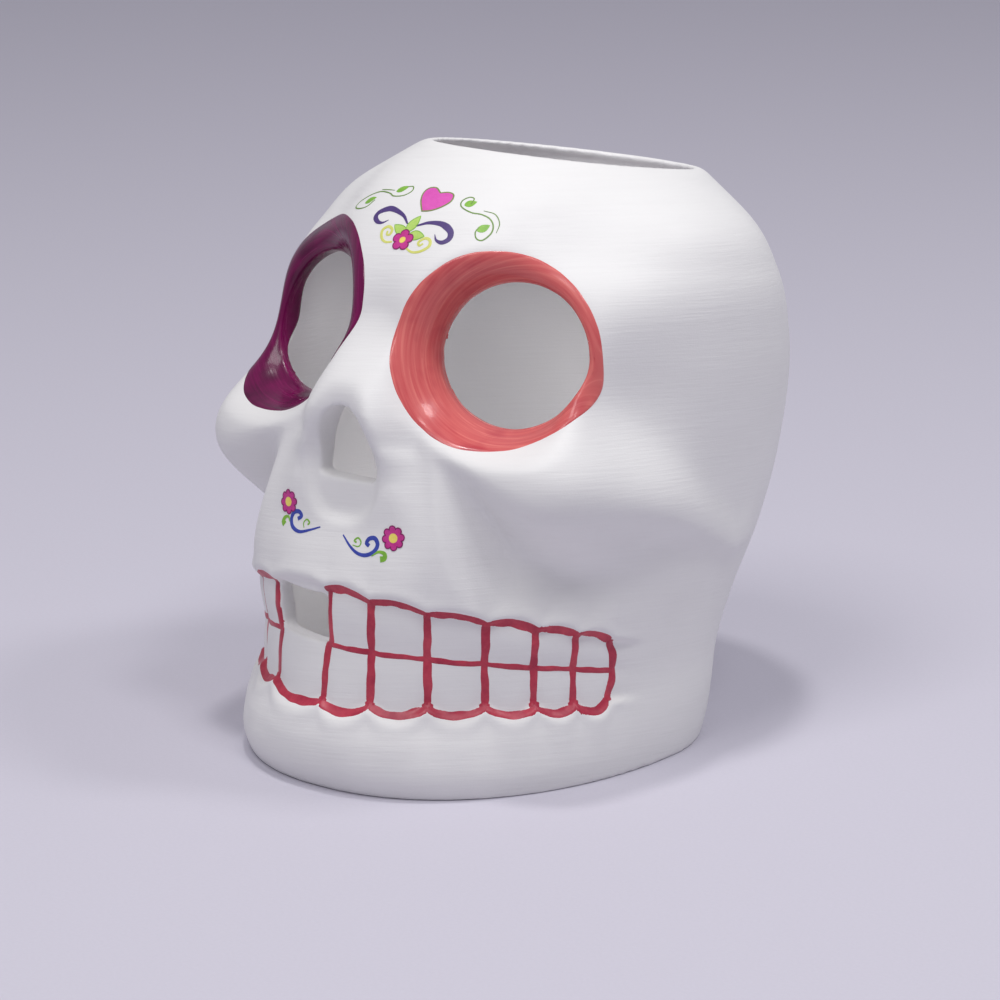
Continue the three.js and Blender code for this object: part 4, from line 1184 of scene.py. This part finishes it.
@dataclass
class EyeEnamel:
    """Gloss enamel in one socket, over the hole's wall and out to an uneven brushed edge."""

    eye: Eye
    casting: Casting
    skin: Skin
    finish: GlossEnamel
    hours: tuple[float, ...]
    seed: int
    film: float = 0.22
    thickness: float = 0.45
    thinning: float = 0.4
    lip: float = 1.2
    turn: float = 1.5
    search: float = 6.0
    slack: float = 0.8
    stray: float = 2.2
    farthest: float = 42.0
    above: float = 45.0
    beside: float = 8.0
    deepest: float = 14.0
    probe: float = 0.5
    wobble: float = 0.16
    sunk_edge: float = -0.05
    leans: tuple[float, ...] = (72.0, 58.0, 45.0, 32.0, 18.0)
    steps: int = 264
    piece: bpy.types.Object = field(init=False)

    def __post_init__(self) -> None:
        """Sets the angles round the eye and the directions of the rays at them."""
        self.across, self.up, self.out = self.eye.axes
        self.origin = self.eye.origin + np.array([0.0, self.casting.shift, 0.0])
        self.angle = np.linspace(0.0, 2.0 * math.pi, self.steps, endpoint=False)
        self.ray = np.cos(self.angle)[:, None] * self.across + np.sin(self.angle)[:, None] * self.up
        self.hole = self.eye.hole(self.angle)

    def softened(self, values: Array, width: int) -> Array:
        """Evens values out round the eye over an odd number of steps."""
        kernel = np.hanning(width + 2)[1:-1]
        half = width // 2
        wrapped = np.concatenate([values[-half:], values, values[:half]])
        return np.convolve(wrapped, kernel / kernel.sum(), "valid")

    def reach(self) -> Array:
        """Radius of the brushed edge at the angles round the eye."""
        turns = np.linspace(0.0, 2.0 * math.pi, len(self.hours), endpoint=False)
        drift = wander(np.random.default_rng(self.seed), self.steps, 11.0)
        fade = np.sin(np.linspace(0.0, math.pi, self.steps)) ** 0.3
        even = self.softened(np.interp(self.angle, turns, self.hours, period=2.0 * math.pi), 21)
        return even + self.wobble * drift * fade

    def dish(self, radius: Array) -> Array:
        """Places in the dish at a radius for each angle."""
        starts = self.origin + self.ray * radius[:, None] + self.above * self.out
        return np.array([self.skin.cast(start, -self.out)[0] for start in starts])

    def corner(self, lean: float) -> Array:
        """Places on the rounded edge of the hole, seen at a lean from its wall towards the dish."""
        found = []
        for ray, hole in zip(self.ray, self.hole):
            middle = self.origin + ray * (hole + self.turn) - self.turn * self.out
            away = math.sin(lean) * self.out - math.cos(lean) * ray
            found.append(self.skin.cast(middle + self.beside * away, -away)[0])
        return np.array(found)

    def wall(self, depth: Array) -> Array:
        """Places on the wall of the hole at a depth for each angle."""
        found = []
        for deep, ray, far in zip(depth, self.ray, self.hole + self.search):
            start = self.origin - deep * self.out
            hit = self.skin.tree.ray_cast(Vector(start) * MM, Vector(ray), far * MM)[0]
            found.append(start + far * ray if hit is None else np.array(hit) / MM)
        return np.array(found)

    def mended(self, places: Array, limit: Array) -> Array:
        """Bridges the places where a ray went past the edge and met another wall.

        Args:
            places: Places at the angles round the eye.
            limit: How far from the eye's axis they can be.

        Returns:
            The places, with those past the limit put between their neighbours.
        """
        offset = places - self.origin
        wide, high = np.hypot(offset @ self.across, offset @ self.up), offset @ self.out
        lost = (wide > limit) | (np.linalg.norm(offset, axis=1) > self.farthest)
        fair = [np.interp(self.angle, self.angle[~lost], values[~lost], period=2.0 * math.pi)
                for values in (wide - self.hole, high)]
        bridged = self.origin + self.ray * (self.hole + fair[0])[:, None] + self.out * fair[1][:, None]
        return np.where(lost[:, None], bridged, places)

    def wall_end(self) -> Array:
        """Depth at which the wall of the hole turns away into the cavity, at each angle."""
        ends = np.full(self.steps, self.turn + self.slack)
        going = np.ones(self.steps, dtype=bool)
        for deep in np.arange(self.turn, self.deepest, self.probe):
            offset = self.wall(np.full(self.steps, deep)) - self.origin
            going &= np.hypot(offset @ self.across, offset @ self.up) < self.hole + self.slack
            ends[going] = deep
        near = np.min([np.roll(ends, step) for step in range(-4, 5)], axis=0)
        return self.softened(near, 21)

    def build(self) -> None:
        """Lays the film over the dish, the edge and the wall of the hole."""
        outer, end = self.reach(), self.wall_end()
        full, inner = outer - self.thinning, self.hole + self.lip
        rows = [self.dish(outer)]
        rows += [self.dish(full + (inner - full) * share) for share in np.linspace(0.0, 1.0, 13)]
        rows = [self.mended(row, outer + 1.0) for row in rows]
        edge = [self.corner(lean) for lean in np.radians(self.leans)]
        edge += [self.wall(self.turn + (end - self.turn) * share) for share in np.linspace(0.0, 1.0, 8)]
        rows += [self.mended(row, self.hole + self.stray) for row in edge]
        rows = [np.stack([self.softened(row[:, axis], 7) for axis in range(3)], axis=1) for row in rows]
        grid = np.array(rows)
        around = np.roll(grid, -1, axis=1) - np.roll(grid, 1, axis=1)
        normals = np.cross(around, np.gradient(grid, axis=0))
        normals /= np.maximum(np.linalg.norm(normals, axis=2), 1e-9)[:, :, None]
        normals *= np.sign((normals[2] @ self.out).mean())
        height = np.full(len(grid), self.film)
        height[[0, -1]] = self.sunk_edge
        grid = grid + normals * height[:, None, None]
        sheet = modelled_sheet(self.finish.name, self.steps, len(grid) - 1,
                               lambda column, row: grid[row, column % self.steps])
        sheet.data.name = self.finish.name
        if sum(face.normal.dot(Vector(self.out)) for face in sheet.data.polygons) < 0:
            sheet.data.flip_normals()
        apply_modifier(sheet, "SOLIDIFY", thickness=self.thickness * MM, offset=-1.0)
        smooth_shaded(sheet, 60.0)
        self.piece = sheet

    def dress(self) -> None:
        """Gives the film its enamel."""
        own = Matrix((self.across, self.up, self.out)).transposed().to_4x4()
        own.translation = Vector(self.origin) * MM
        self.piece.data.materials.clear()
        self.piece.data.materials.append(self.finish.material(own))


@dataclass
class ToothLines:
    """Crimson lines brushed round the teeth."""

    teeth: Teeth
    skin: Skin
    width: float = 2.7
    bite_width: float = 1.7
    dome: float = 0.28
    step: float = 0.7
    shake: float = 0.2
    swing: float = 11.0
    gap_aside: float = 0.9
    end_bulge: float = 2.0
    seed: int = 11

    def __post_init__(self) -> None:
        """Starts the hand's own chance and its paint."""
        self.rng = np.random.default_rng(self.seed)
        self.paint = BrushLine().material()
        self.brush = Brush(self.skin, lift=-0.04, depth=0.3)

    def line(self, turns: Array, heights: Array, width: float) -> None:
        """Draws one line along the jaw.

        Args:
            turns: Turns round the arch of its places.
            heights: Their heights.
            width: Its mean width.
        """
        turns, heights = np.asarray(turns), np.asarray(heights)
        length = np.hypot(np.diff(turns) * self.teeth.arch, np.diff(heights))
        along = np.concatenate([[0.0], np.cumsum(length)])
        count = max(8, int(along[-1] / self.step))
        at = np.linspace(0.0, along[-1], count)
        waves = along[-1] / self.swing
        turn = np.interp(at, along, turns) + self.shake / self.teeth.arch * wander(self.rng, count, waves)
        height = np.interp(at, along, heights) + self.shake * wander(self.rng, count, waves)
        ends = np.minimum(at, along[-1] - at) / (0.5 * width)
        tip = np.sqrt(np.clip(1.0 - (1.0 - np.clip(ends, 0.0, 1.0)) ** 2, 0.5, 1.0))
        widths = width * (1.0 + 0.2 * wander(self.rng, count, waves)) * tip
        spots = [self.skin.jaw(a, b, self.teeth) for a, b in zip(turn, height)]
        places = np.array([place for place, _ in spots])
        near = np.linalg.norm(places - np.median(places, axis=0), axis=1) < along[-1] + 4.0
        spots = [spot for spot, kept in zip(spots, near) if kept]
        self.brush.stroke(spots, widths[near], self.dome, self.paint)

    def scallop(self, start: float, end: float, row: Row) -> None:
        """Draws the gum's edge over or under one tooth."""
        over = self.step / self.teeth.arch * np.sign(end - start)
        last = abs(end) >= abs(self.teeth.edges(Side.LEFT if end > 0 else Side.RIGHT)[-1]) - 0.01
        turns = np.linspace(start - over, end + (-0.6 if last else 1.0) * over, 25)
        hump = np.sin(math.pi * np.linspace(0.0, 1.0, 25)) ** 0.6
        self.line(turns, self.teeth.gum_line(turns, row) + self.teeth.scallop(row) * hump, self.width)

    def edge(self, turn: float, row: Row, aside: float = 0.0, bulge: float = 0.0) -> None:
        """Draws one tooth's edge from the bite to the gum.

        Args:
            turn: Where it is round the arch.
            row: Which row.
            aside: How far it is moved along the arch.
            bulge: How far it swings out along the arch where the rows meet.
        """
        bite = float(self.teeth.bite_line(np.array(turn)))
        gum = float(self.teeth.gum_line(np.array(turn), row))
        share = np.linspace(-0.04, 1.06, 14)
        swing = (aside + bulge * np.cos(0.5 * math.pi * np.clip(share, 0.0, 1.0))) / self.teeth.arch
        self.line(turn + swing, bite + (gum - bite) * share, self.width * 0.92)

    def edges(self, side: Side, row: Row, first: int) -> None:
        """Draws the edges of one side's teeth in one row, the last one rounded."""
        turns = self.teeth.edges(side)
        for tooth in range(first, self.teeth.count + 1):
            beside_gap = row is Row.UPPER and tooth == (0 if side is Side.LEFT else 1)
            aside = self.gap_aside if beside_gap else 0.0
            bulge = self.end_bulge if tooth == self.teeth.count else 0.0
            self.edge(turns[tooth], row, side.value * aside, side.value * bulge)

    def upper(self, side: Side) -> bpy.types.Object:
        """Draws the upper teeth of one side with their bite line.

        Args:
            side: Which side.

        Returns:
            The piece.
        """
        edges = self.teeth.edges(side)
        first = 0 if side is Side.LEFT else 1
        self.edges(side, Row.UPPER, first)
        for tooth in range(first, self.teeth.count):
            self.scallop(edges[tooth], edges[tooth + 1], Row.UPPER)
        turns = np.linspace(edges[first], edges[-1] + side.value * self.end_bulge / self.teeth.arch, 60)
        self.line(turns, self.teeth.bite_line(turns), self.bite_width)
        return self.brush.finish(f"upper_tooth_lines_{side.name.lower()}")

    def lower(self) -> bpy.types.Object:
        """Draws the lower teeth of both sides."""
        for side in Side:
            edges = self.teeth.edges(side)
            self.edges(side, Row.LOWER, 0 if side is Side.LEFT else 1)
            for tooth in range(self.teeth.count):
                self.scallop(edges[tooth], edges[tooth + 1], Row.LOWER)
        return self.brush.finish("lower_tooth_lines")


def through(points: Sequence[Point], count: int) -> Array:
    """Smooth flat curve through given points.

    Args:
        points: Points that it passes.
        count: Number of places along it.

    Returns:
        One place a row, evenly spaced.
    """
    given = np.array(points)
    knots = np.array([2 * given[0] - given[1], *given, 2 * given[-1] - given[-2]])
    t = np.linspace(0.0, 1.0, 24, endpoint=False)[:, None]
    runs = []
    for a, b, c, d in zip(knots, knots[1:], knots[2:], knots[3:]):
        square, cube = a - 2.5 * b + 2 * c - d / 2, (-a + 3 * b - 3 * c + d) / 2
        runs.append(b + t * (c - a) / 2 + t**2 * square + t**3 * cube)
    dense = np.concatenate([*runs, knots[-2:-1]])
    along = np.concatenate([[0.0], np.cumsum(np.linalg.norm(np.diff(dense, axis=0), axis=1))])
    at = np.linspace(0.0, along[-1], count)
    return np.stack([np.interp(at, along, dense[:, axis]) for axis in range(2)], axis=1)


def petal_outline(count: int, radius: float, notch: float) -> Array:
    """Outline of round petals.

    Args:
        count: Number of petals.
        radius: Reach of a petal.
        notch: Reach of the notches, as a share of the radius.

    Returns:
        One flat corner a row.
    """
    angle = np.linspace(0.0, 2.0 * math.pi, count * 14, endpoint=False)
    lobe = notch + (1.0 - notch) * np.abs(np.cos(count * angle / 2.0)) ** 0.55
    return radius * (lobe * np.array([np.sin(angle), np.cos(angle)])).T


def leaf_outline(length: float, width: float) -> Array:
    """Outline of a pointed leaf round its own middle, tip upwards."""
    along = np.linspace(0.0, 1.0, 16)
    half = width / 2.0 * np.sin(math.pi * along**0.8) ** 0.9
    right = np.stack([half, (along - 0.5) * length], axis=1)
    return np.concatenate([right, (right * np.array([-1.0, 1.0]))[-2:0:-1]])


# Heights of the prints over the skin, in the order in which they cover each other
LEAF_LIFT = 0.06
PRINT_LIFT = 0.07
LEAF_EDGE_LIFT = 0.085
TWIN_LIFT = 0.09
EDGE_LIFT = 0.1
PETAL_LIFT = 0.12
PETAL_EDGE_LIFT = 0.145
EYE_LIFT = 0.16
# Distance between the places of a printed line
PRINT_STEP = 0.28


@dataclass
class TransferSheet:
    """Common ways to lay the printed figures on the skull's face."""

    skin: Skin
    inks: Inks

    def __post_init__(self) -> None:
        """Takes up a brush for thin prints."""
        self.brush = Brush(self.skin, lift=PRINT_LIFT, depth=0.2)

    def hand_over(self, name: str, slot: str, node: str) -> None:
        """Hands in what was printed last as one piece."""
        hand_in(self.brush.finish(name), slot, node)

    def line(self, points: Sequence[Point], width: float, ink: Transfer, fat: tuple[float, float, float],
             lift: float = PRINT_LIFT) -> None:
        """Prints a line through places seen from the front.

        Args:
            points: Places across and up.
            width: Its greatest width.
            ink: Its colour.
            fat: Shares of the width at its start, middle and end.
            lift: Height over the skin.
        """
        rough = through(points, 60)
        count = max(14, int(np.linalg.norm(np.diff(rough, axis=0), axis=1).sum() / PRINT_STEP))
        places = through(points, count)
        spots = [self.skin.front(x, z) for x, z in places]
        share = np.linspace(0.0, 1.0, count)
        body = np.interp(share, [0.0, 0.25, 0.5, 0.8, 1.0],
                         [fat[0], (fat[0] + fat[1]) / 2, fat[1], (fat[1] + fat[2]) / 2 + 0.1, fat[2]])
        self.brush.stroke(spots, width * body, 0.02, self.inks.get(ink), lift)

    def flattened(self, spot: Spot, places: Array) -> Array:
        """Places seen from the front, as flat corners round a spot.

        Args:
            spot: Place and outward direction of the middle.
            places: Places across and up, one a row.

        Returns:
            One flat corner a row.
        """
        origin, out = spot
        across, up = flat_axes(out)
        offset = np.array([self.skin.front(x, z)[0] for x, z in places]) - origin
        return np.stack([offset @ across, offset @ up], axis=1)

    def outline(self, spot: Spot, corners: Array, width: float, ink: Transfer, tilt: float = 0.0,
                lift: float = EDGE_LIFT) -> None:
        """Prints the drawn edge of a figure.

        Args:
            spot: Place and outward direction of its middle.
            corners: The figure's outline.
            width: Width of the drawn edge.
            ink: Its colour.
            tilt: How far it is turned.
            lift: Height over the skin.
        """
        origin, out = spot
        across, up = flat_axes(out)
        turned = rotated(corners, tilt)
        closed = np.concatenate([turned, turned[:2]])
        spots = [(self.skin.under(origin + across * a + up * b, out), out) for a, b in closed]
        self.brush.stroke(spots, np.full(len(spots), width), 0.01, self.inks.get(ink), lift)

    def flower(self, spot: Spot, petals: int, radius: float, notch: float, turn: float) -> None:
        """Prints a flower's petals with their drawn edge, round an open eye."""
        corners = petal_outline(petals, radius, notch)
        self.brush.figure(spot, corners, self.inks.get(Inks.MAGENTA), rings=4, tilt=turn, lift=PETAL_LIFT,
                          hole=0.3 * radius)
        self.outline(spot, corners * 0.96, 0.3, Inks.WINE, turn, PETAL_EDGE_LIFT)

    def eye(self, spot: Spot, radius: float) -> None:
        """Prints a flower's yellow eye."""
        angle = np.linspace(0.0, 2.0 * math.pi, 28, endpoint=False)
        corners = radius * np.stack([np.sin(angle), np.cos(angle)], axis=1)
        self.brush.figure(spot, corners, self.inks.get(Inks.LEMON), rings=3, lift=EYE_LIFT)


@dataclass
class ForeheadSpray(TransferSheet):
    """Flower with leaves, scrolls and curls, a heart above it and a vine at each side."""

    x: float = 0.3
    z: float = 147.6

    def build(self) -> None:
        """Prints the spray and hands its pieces in."""
        middle = self.skin.front(self.x, self.z)
        self.leaves()
        self.flower(middle, 5, 3.45, 0.62, 0.1)
        self.hand_over("forehead_petals", "magenta_transfer", "forehead_flower_petals")
        self.eye(middle, 0.95)
        self.hand_over("forehead_flower_eye", "lemon_transfer", "forehead_flower_centre")
        self.heart()
        for side in Side:
            self.scroll(side)
            self.curl(side)
            self.vine(side)

    def heart(self) -> None:
        """Prints the heart, drawn as two halves from its notch to its tip."""
        right = through(((3.1, 158.9), (0.6, 159.8), (-1.6, 159.5), (-2.2, 158.4), (-1.2, 156.8),
                         (1.4, 154.6)), 28)
        left = through(((1.4, 154.6), (4.0, 155.0), (6.4, 156.0), (8.0, 157.4), (7.4, 158.8), (5.3, 159.2),
                        (3.1, 158.9)), 28)
        spot = self.skin.front(2.6, 157.3)
        corners = self.flattened(spot, np.concatenate([right[:-1], left[:-1]]))
        self.brush.figure(spot, corners, self.inks.get(Inks.PINK), rings=6)
        self.outline(spot, corners, 0.42, Inks.OLIVE)
        self.hand_over("heart", "pink_transfer", "forehead_heart")

    def leaf(self, base: Point, tip: Point, width: float, ink: Transfer, edge: Transfer | None) -> None:
        """Prints one leaf or bud.

        Args:
            base: Place of its base.
            tip: Place of its tip.
            width: Its width.
            ink: Its colour.
            edge: Colour of its drawn edge, or None.
        """
        spot = self.skin.front((base[0] + tip[0]) / 2.0, (base[1] + tip[1]) / 2.0)
        ends = self.flattened(spot, np.array([base, tip]))
        along = ends[1] - ends[0]
        corners = leaf_outline(float(np.hypot(*along)), width)
        tilt = math.atan2(-along[0], along[1])
        self.brush.figure(spot, corners, self.inks.get(ink), rings=3, tilt=tilt, lift=LEAF_LIFT)
        if edge:
            self.outline(spot, corners, 0.24, edge, tilt, LEAF_EDGE_LIFT)

    def leaves(self) -> None:
        """Prints the three leaves behind the flower."""
        for name, base, tip, width in (("right", (0.4, 149.0), (-4.9, 150.7), 2.9),
                                       ("top", (0.2, 149.6), (2.0, 153.6), 3.0),
                                       ("left", (1.4, 149.0), (6.5, 149.2), 3.0)):
            self.leaf(base, tip, width, Inks.LEAF, Inks.BUD)
            self.hand_over(f"leaf_{name}", "leaf_transfer", f"forehead_leaf_{name}")

    def scroll(self, side: Side) -> None:
        """Prints one violet scroll."""
        points = {
            Side.LEFT: ((2.3, 151.2), (5.8, 152.3), (9.9, 152.3), (13.2, 150.9), (14.0, 149.2), (12.6, 148.2),
                        (10.6, 148.6), (9.3, 149.9)),
            Side.RIGHT: ((-0.8, 151.4), (-4.0, 153.1), (-9.4, 153.9), (-13.0, 152.7), (-13.6, 151.4),
                         (-11.8, 150.5), (-9.8, 150.5), (-8.0, 151.4)),
        }[side]
        self.line(points, 2.3, Inks.VIOLET, fat=(0.2, 0.9, 0.06))
        name = side.name.lower()
        self.hand_over(f"scroll_{name}", "violet_transfer", f"forehead_scroll_{name}")

    def curl(self, side: Side) -> None:
        """Prints one yellow-green curl."""
        points = {
            Side.LEFT: ((2.7, 145.9), (5.0, 145.2), (7.5, 145.6), (9.4, 147.0), (8.8, 148.4), (7.0, 148.7),
                        (5.7, 147.6), (6.5, 146.9), (7.3, 147.5)),
            Side.RIGHT: ((-2.9, 146.8), (-5.2, 146.5), (-7.2, 147.3), (-8.2, 148.9), (-6.9, 150.0),
                         (-5.0, 149.6), (-4.8, 148.4), (-5.9, 148.2), (-6.2, 149.0)),
        }[side]
        self.line(points, 0.95, Inks.LIME, fat=(0.6, 1.0, 0.6))
        name = side.name.lower()
        self.hand_over(f"curl_{name}", "lime_transfer", f"forehead_curl_{name}")

    def vine(self, side: Side) -> None:
        """Prints one thin vine that doubles in its bend, with a bud in the loop at each end."""
        stem, twin, buds = {
            Side.LEFT: (((14.0, 157.2), (13.7, 158.4), (12.1, 158.6), (11.0, 157.7), (12.0, 156.5),
                         (15.6, 155.4), (18.4, 155.1), (21.1, 154.2), (23.0, 152.6), (23.6, 150.8),
                         (22.6, 149.3), (21.0, 149.6), (19.8, 151.0), (19.9, 152.2)),
                        ((18.4, 155.9), (21.6, 155.2), (24.0, 153.2), (24.7, 151.0)),
                        (((12.4, 156.9), (15.1, 157.8)), ((20.1, 151.3), (22.2, 152.8)))),
            Side.RIGHT: (((-9.4, 158.9), (-7.4, 159.2), (-6.6, 158.3), (-8.4, 157.1), (-11.9, 156.5),
                          (-14.3, 156.8), (-18.5, 156.5), (-22.4, 155.0), (-26.0, 152.7), (-26.4, 151.4),
                          (-24.0, 151.5), (-20.4, 152.7), (-18.6, 154.6)),
                         ((-13.2, 157.6), (-15.4, 157.4), (-18.8, 156.9)),
                         (((-12.2, 157.5), (-8.8, 159.1)), ((-22.6, 153.2), (-18.7, 155.2)))),
        }[side]
        self.line(stem, 0.42, Inks.VINE, fat=(0.8, 1.0, 0.8))
        self.line(twin, 0.3, Inks.VINE, fat=(0.5, 1.0, 0.5), lift=TWIN_LIFT)
        for base, tip in buds:
            self.leaf(base, tip, 2.4, Inks.BUD, None)
        name = side.name.lower()
        self.hand_over(f"vine_{name}", "vine_transfer", f"forehead_vine_{name}")


@dataclass
class LipSpray(TransferSheet):
    """Flower with a blue scroll and two green tendrils on one half of the upper lip."""

    side: Side = Side.LEFT

    def build(self) -> None:
        """Prints the spray and hands its pieces in."""
        flower, scroll, inner, outer = {
            Side.LEFT: ((18.9, 72.3),
                        ((2.8, 70.9), (5.9, 68.6), (8.9, 67.1), (11.6, 66.9), (13.8, 68.1), (14.5, 70.0),
                         (13.3, 71.5), (11.6, 71.2), (11.0, 70.0), (12.0, 69.4)),
                        ((6.8, 68.9), (8.8, 68.8), (9.2, 70.0), (8.0, 70.9), (7.0, 70.1), (7.8, 69.7)),
                        ((13.4, 66.9), (15.2, 68.2), (17.1, 68.0), (17.4, 66.8), (16.2, 66.4))),
            Side.RIGHT: ((-18.7, 76.1),
                         ((-5.6, 71.6), (-9.1, 70.2), (-12.8, 69.1), (-15.8, 69.8), (-16.9, 71.7),
                          (-16.2, 73.6), (-14.3, 74.2), (-13.1, 73.2), (-14.4, 72.2)),
                         ((-11.4, 70.4), (-11.9, 71.6), (-10.9, 72.7), (-9.7, 72.0), (-10.3, 71.4)),
                         ((-17.4, 70.9), (-18.2, 72.0), (-19.6, 71.6), (-20.0, 70.4), (-19.3, 69.8))),
        }[self.side]
        name = self.side.name.lower()
        spot = self.skin.front(*flower)
        self.flower(spot, 8, 3.5, 0.72, 0.2)
        self.hand_over(f"lip_petals_{name}", "magenta_transfer", f"lip_flower_petals_{name}")
        self.eye(spot, 1.3)
        self.hand_over(f"lip_flower_eye_{name}", "lemon_transfer", f"lip_flower_centre_{name}")
        self.line(scroll, 1.25, Inks.BLUE, fat=(0.3, 0.9, 0.85))
        self.hand_over(f"lip_scroll_{name}", "blue_transfer", f"lip_scroll_{name}")
        self.line(inner, 0.5, Inks.BUD, fat=(0.5, 0.8, 1.0))
        self.hand_over(f"lip_tendril_in_{name}", "vine_transfer", f"lip_tendril_inner_{name}")
        self.line(outer, 1.7, Inks.BUD, fat=(0.2, 0.55, 1.0))
        self.hand_over(f"lip_tendril_out_{name}", "vine_transfer", f"lip_tendril_outer_{name}")


@dataclass
class Studio:
    """Pale floor, soft lights and the camera."""

    shift: float
    azimuth: float = math.radians(38.0)
    elevation: float = math.radians(15.5)
    distance: float = 1.275
    lens: float = 160.65
    aim: float = 0.0643
    sensor: float = 36.0
    floor: Colour = (0.60, 0.58, 0.66)
    lamp_distance: float = 1.6
    lamp_aim: float = 0.08

    def direction(self, azimuth: float, elevation: float) -> Vector:
        """Direction towards a place round the skull, from angles in radians."""
        return Vector((math.sin(azimuth) * math.cos(elevation), -math.cos(azimuth) * math.cos(elevation),
                       math.sin(elevation)))

    def set_floor(self) -> None:
        """Lays the floor."""
        deselect()
        bpy.ops.mesh.primitive_plane_add(size=14.0, location=(0.0, 0.0, 0.0))
        floor = bpy.context.object
        floor.name = "floor"
        recipe = Recipe("pale_floor")
        grain = recipe.noise((900.0, 900.0, 900.0), 2.0)
        colour = recipe.blend(grain, self.floor, tuple(0.94 * value for value in self.floor))
        floor.data.materials.append(recipe.finish(colour, 0.9))

    def lamp(self, name: str, azimuth: float, elevation: float, size: float, power: float,
             colour: Colour) -> None:
        """Hangs one soft square lamp that faces the skull.

        Args:
            name: Its name.
            azimuth: Degrees round the skull.
            elevation: Degrees above the floor.
            size: Side of the lamp in metres.
            power: Watts.
            colour: Colour of its light.
        """
        deselect()
        towards = self.direction(math.radians(azimuth), math.radians(elevation))
        place = towards * self.lamp_distance + Vector((0.0, 0.0, self.lamp_aim))
        bpy.ops.object.light_add(type="AREA", location=place)
        lamp = bpy.context.object
        lamp.name = name
        lamp.rotation_mode = "QUATERNION"
        lamp.rotation_quaternion = towards.to_track_quat("Z", "Y")
        lamp.data.shape = "SQUARE"
        lamp.data.size = size
        lamp.data.energy = power
        lamp.data.color = colour

    def set_lights(self) -> None:
        """Hangs the lamps and sets the room's own light."""
        self.lamp("key", 0.0, 88.0, 0.15, 6.2, (1.0, 0.99, 0.975))
        self.lamp("front", 4.0, 60.0, 0.6, 7.6, (1.0, 0.99, 0.98))
        self.lamp("fill", 72.0, 62.0, 0.3, 3.8, (1.0, 1.0, 1.0))
        self.lamp("back", 125.0, 55.0, 0.3, 4.6, (1.0, 1.0, 1.0))
        world = bpy.data.worlds.new("room")
        bpy.context.scene.world = world
        world.use_nodes = True
        ground = world.node_tree.nodes["Background"]
        ground.inputs["Color"].default_value = (0.90, 0.89, 1.0, 1.0)
        ground.inputs["Strength"].default_value = 0.35

    def set_camera(self) -> None:
        """Sets the camera up at the photograph's angle."""
        deselect()
        target = Vector((0.0, self.shift * MM, self.aim))
        back = self.direction(self.azimuth, self.elevation)
        bpy.ops.object.camera_add(location=target + back * self.distance)
        camera = bpy.context.object
        camera.name = "camera"
        camera.rotation_mode = "QUATERNION"
        camera.rotation_quaternion = back.to_track_quat("Z", "Y")
        camera.data.lens = self.lens
        camera.data.sensor_width = self.sensor
        camera.data.clip_end = 60.0
        bpy.context.scene.camera = camera

    def build(self) -> None:
        """Sets the whole studio up."""
        self.set_floor()
        self.set_lights()
        self.set_camera()
        bpy.context.scene.view_settings.view_transform = "Standard"


# How far the brush went from the middle of each socket, at every hour from three o'clock round by twelve
CORAL_REACH = (24.5, 25.0, 25.5, 27.5, 30.0, 30.5, 31.0, 29.5, 29.0, 26.5, 25.5, 26.5)
PLUM_REACH = (31.0, 34.0, 32.0, 30.5, 30.5, 29.5, 29.0, 28.5, 29.0, 27.0, 27.0, 28.0)


def main() -> None:
    """Builds the skull piece by piece and reports each."""
    logging.basicConfig(level=logging.INFO, format="%(name)s: %(message)s")
    casting = Casting(SkullForm())
    body = casting.build()
    casting.dress()
    skin = Skin(body, casting.shift)
    coral = GlossEnamel("coral_enamel", (0.74, 0.19, 0.17), (0.58, 0.085, 0.095), (0.42, 0.03, 0.06))
    plum = GlossEnamel("plum_enamel", (0.2, 0.003, 0.085), (0.1, 0.002, 0.045), (0.03, 0.001, 0.018))
    for side, finish, edge, slot in ((Side.LEFT, coral, CORAL_REACH, "coral_enamel"),
                                     (Side.RIGHT, plum, PLUM_REACH, "plum_enamel")):
        enamel = EyeEnamel(Eye(side), casting, skin, finish, edge, seed=3 + side.value)
        enamel.build()
        enamel.dress()
        hand_in(enamel.piece, slot, f"{side.name.lower()}_eye_enamel")
    hand_in(body, "ceramic_body", "skull_shell")
    lines = ToothLines(casting.form.teeth, skin)
    for side in Side:
        hand_in(lines.upper(side), "crimson_line", f"upper_tooth_outline_{side.name.lower()}")
    hand_in(lines.lower(), "crimson_line", "lower_tooth_outline")
    inks = Inks()
    ForeheadSpray(skin, inks).build()
    for side in Side:
        LipSpray(skin, inks, side).build()
    Studio(casting.shift).build()


if __name__ == "__main__":
    main()
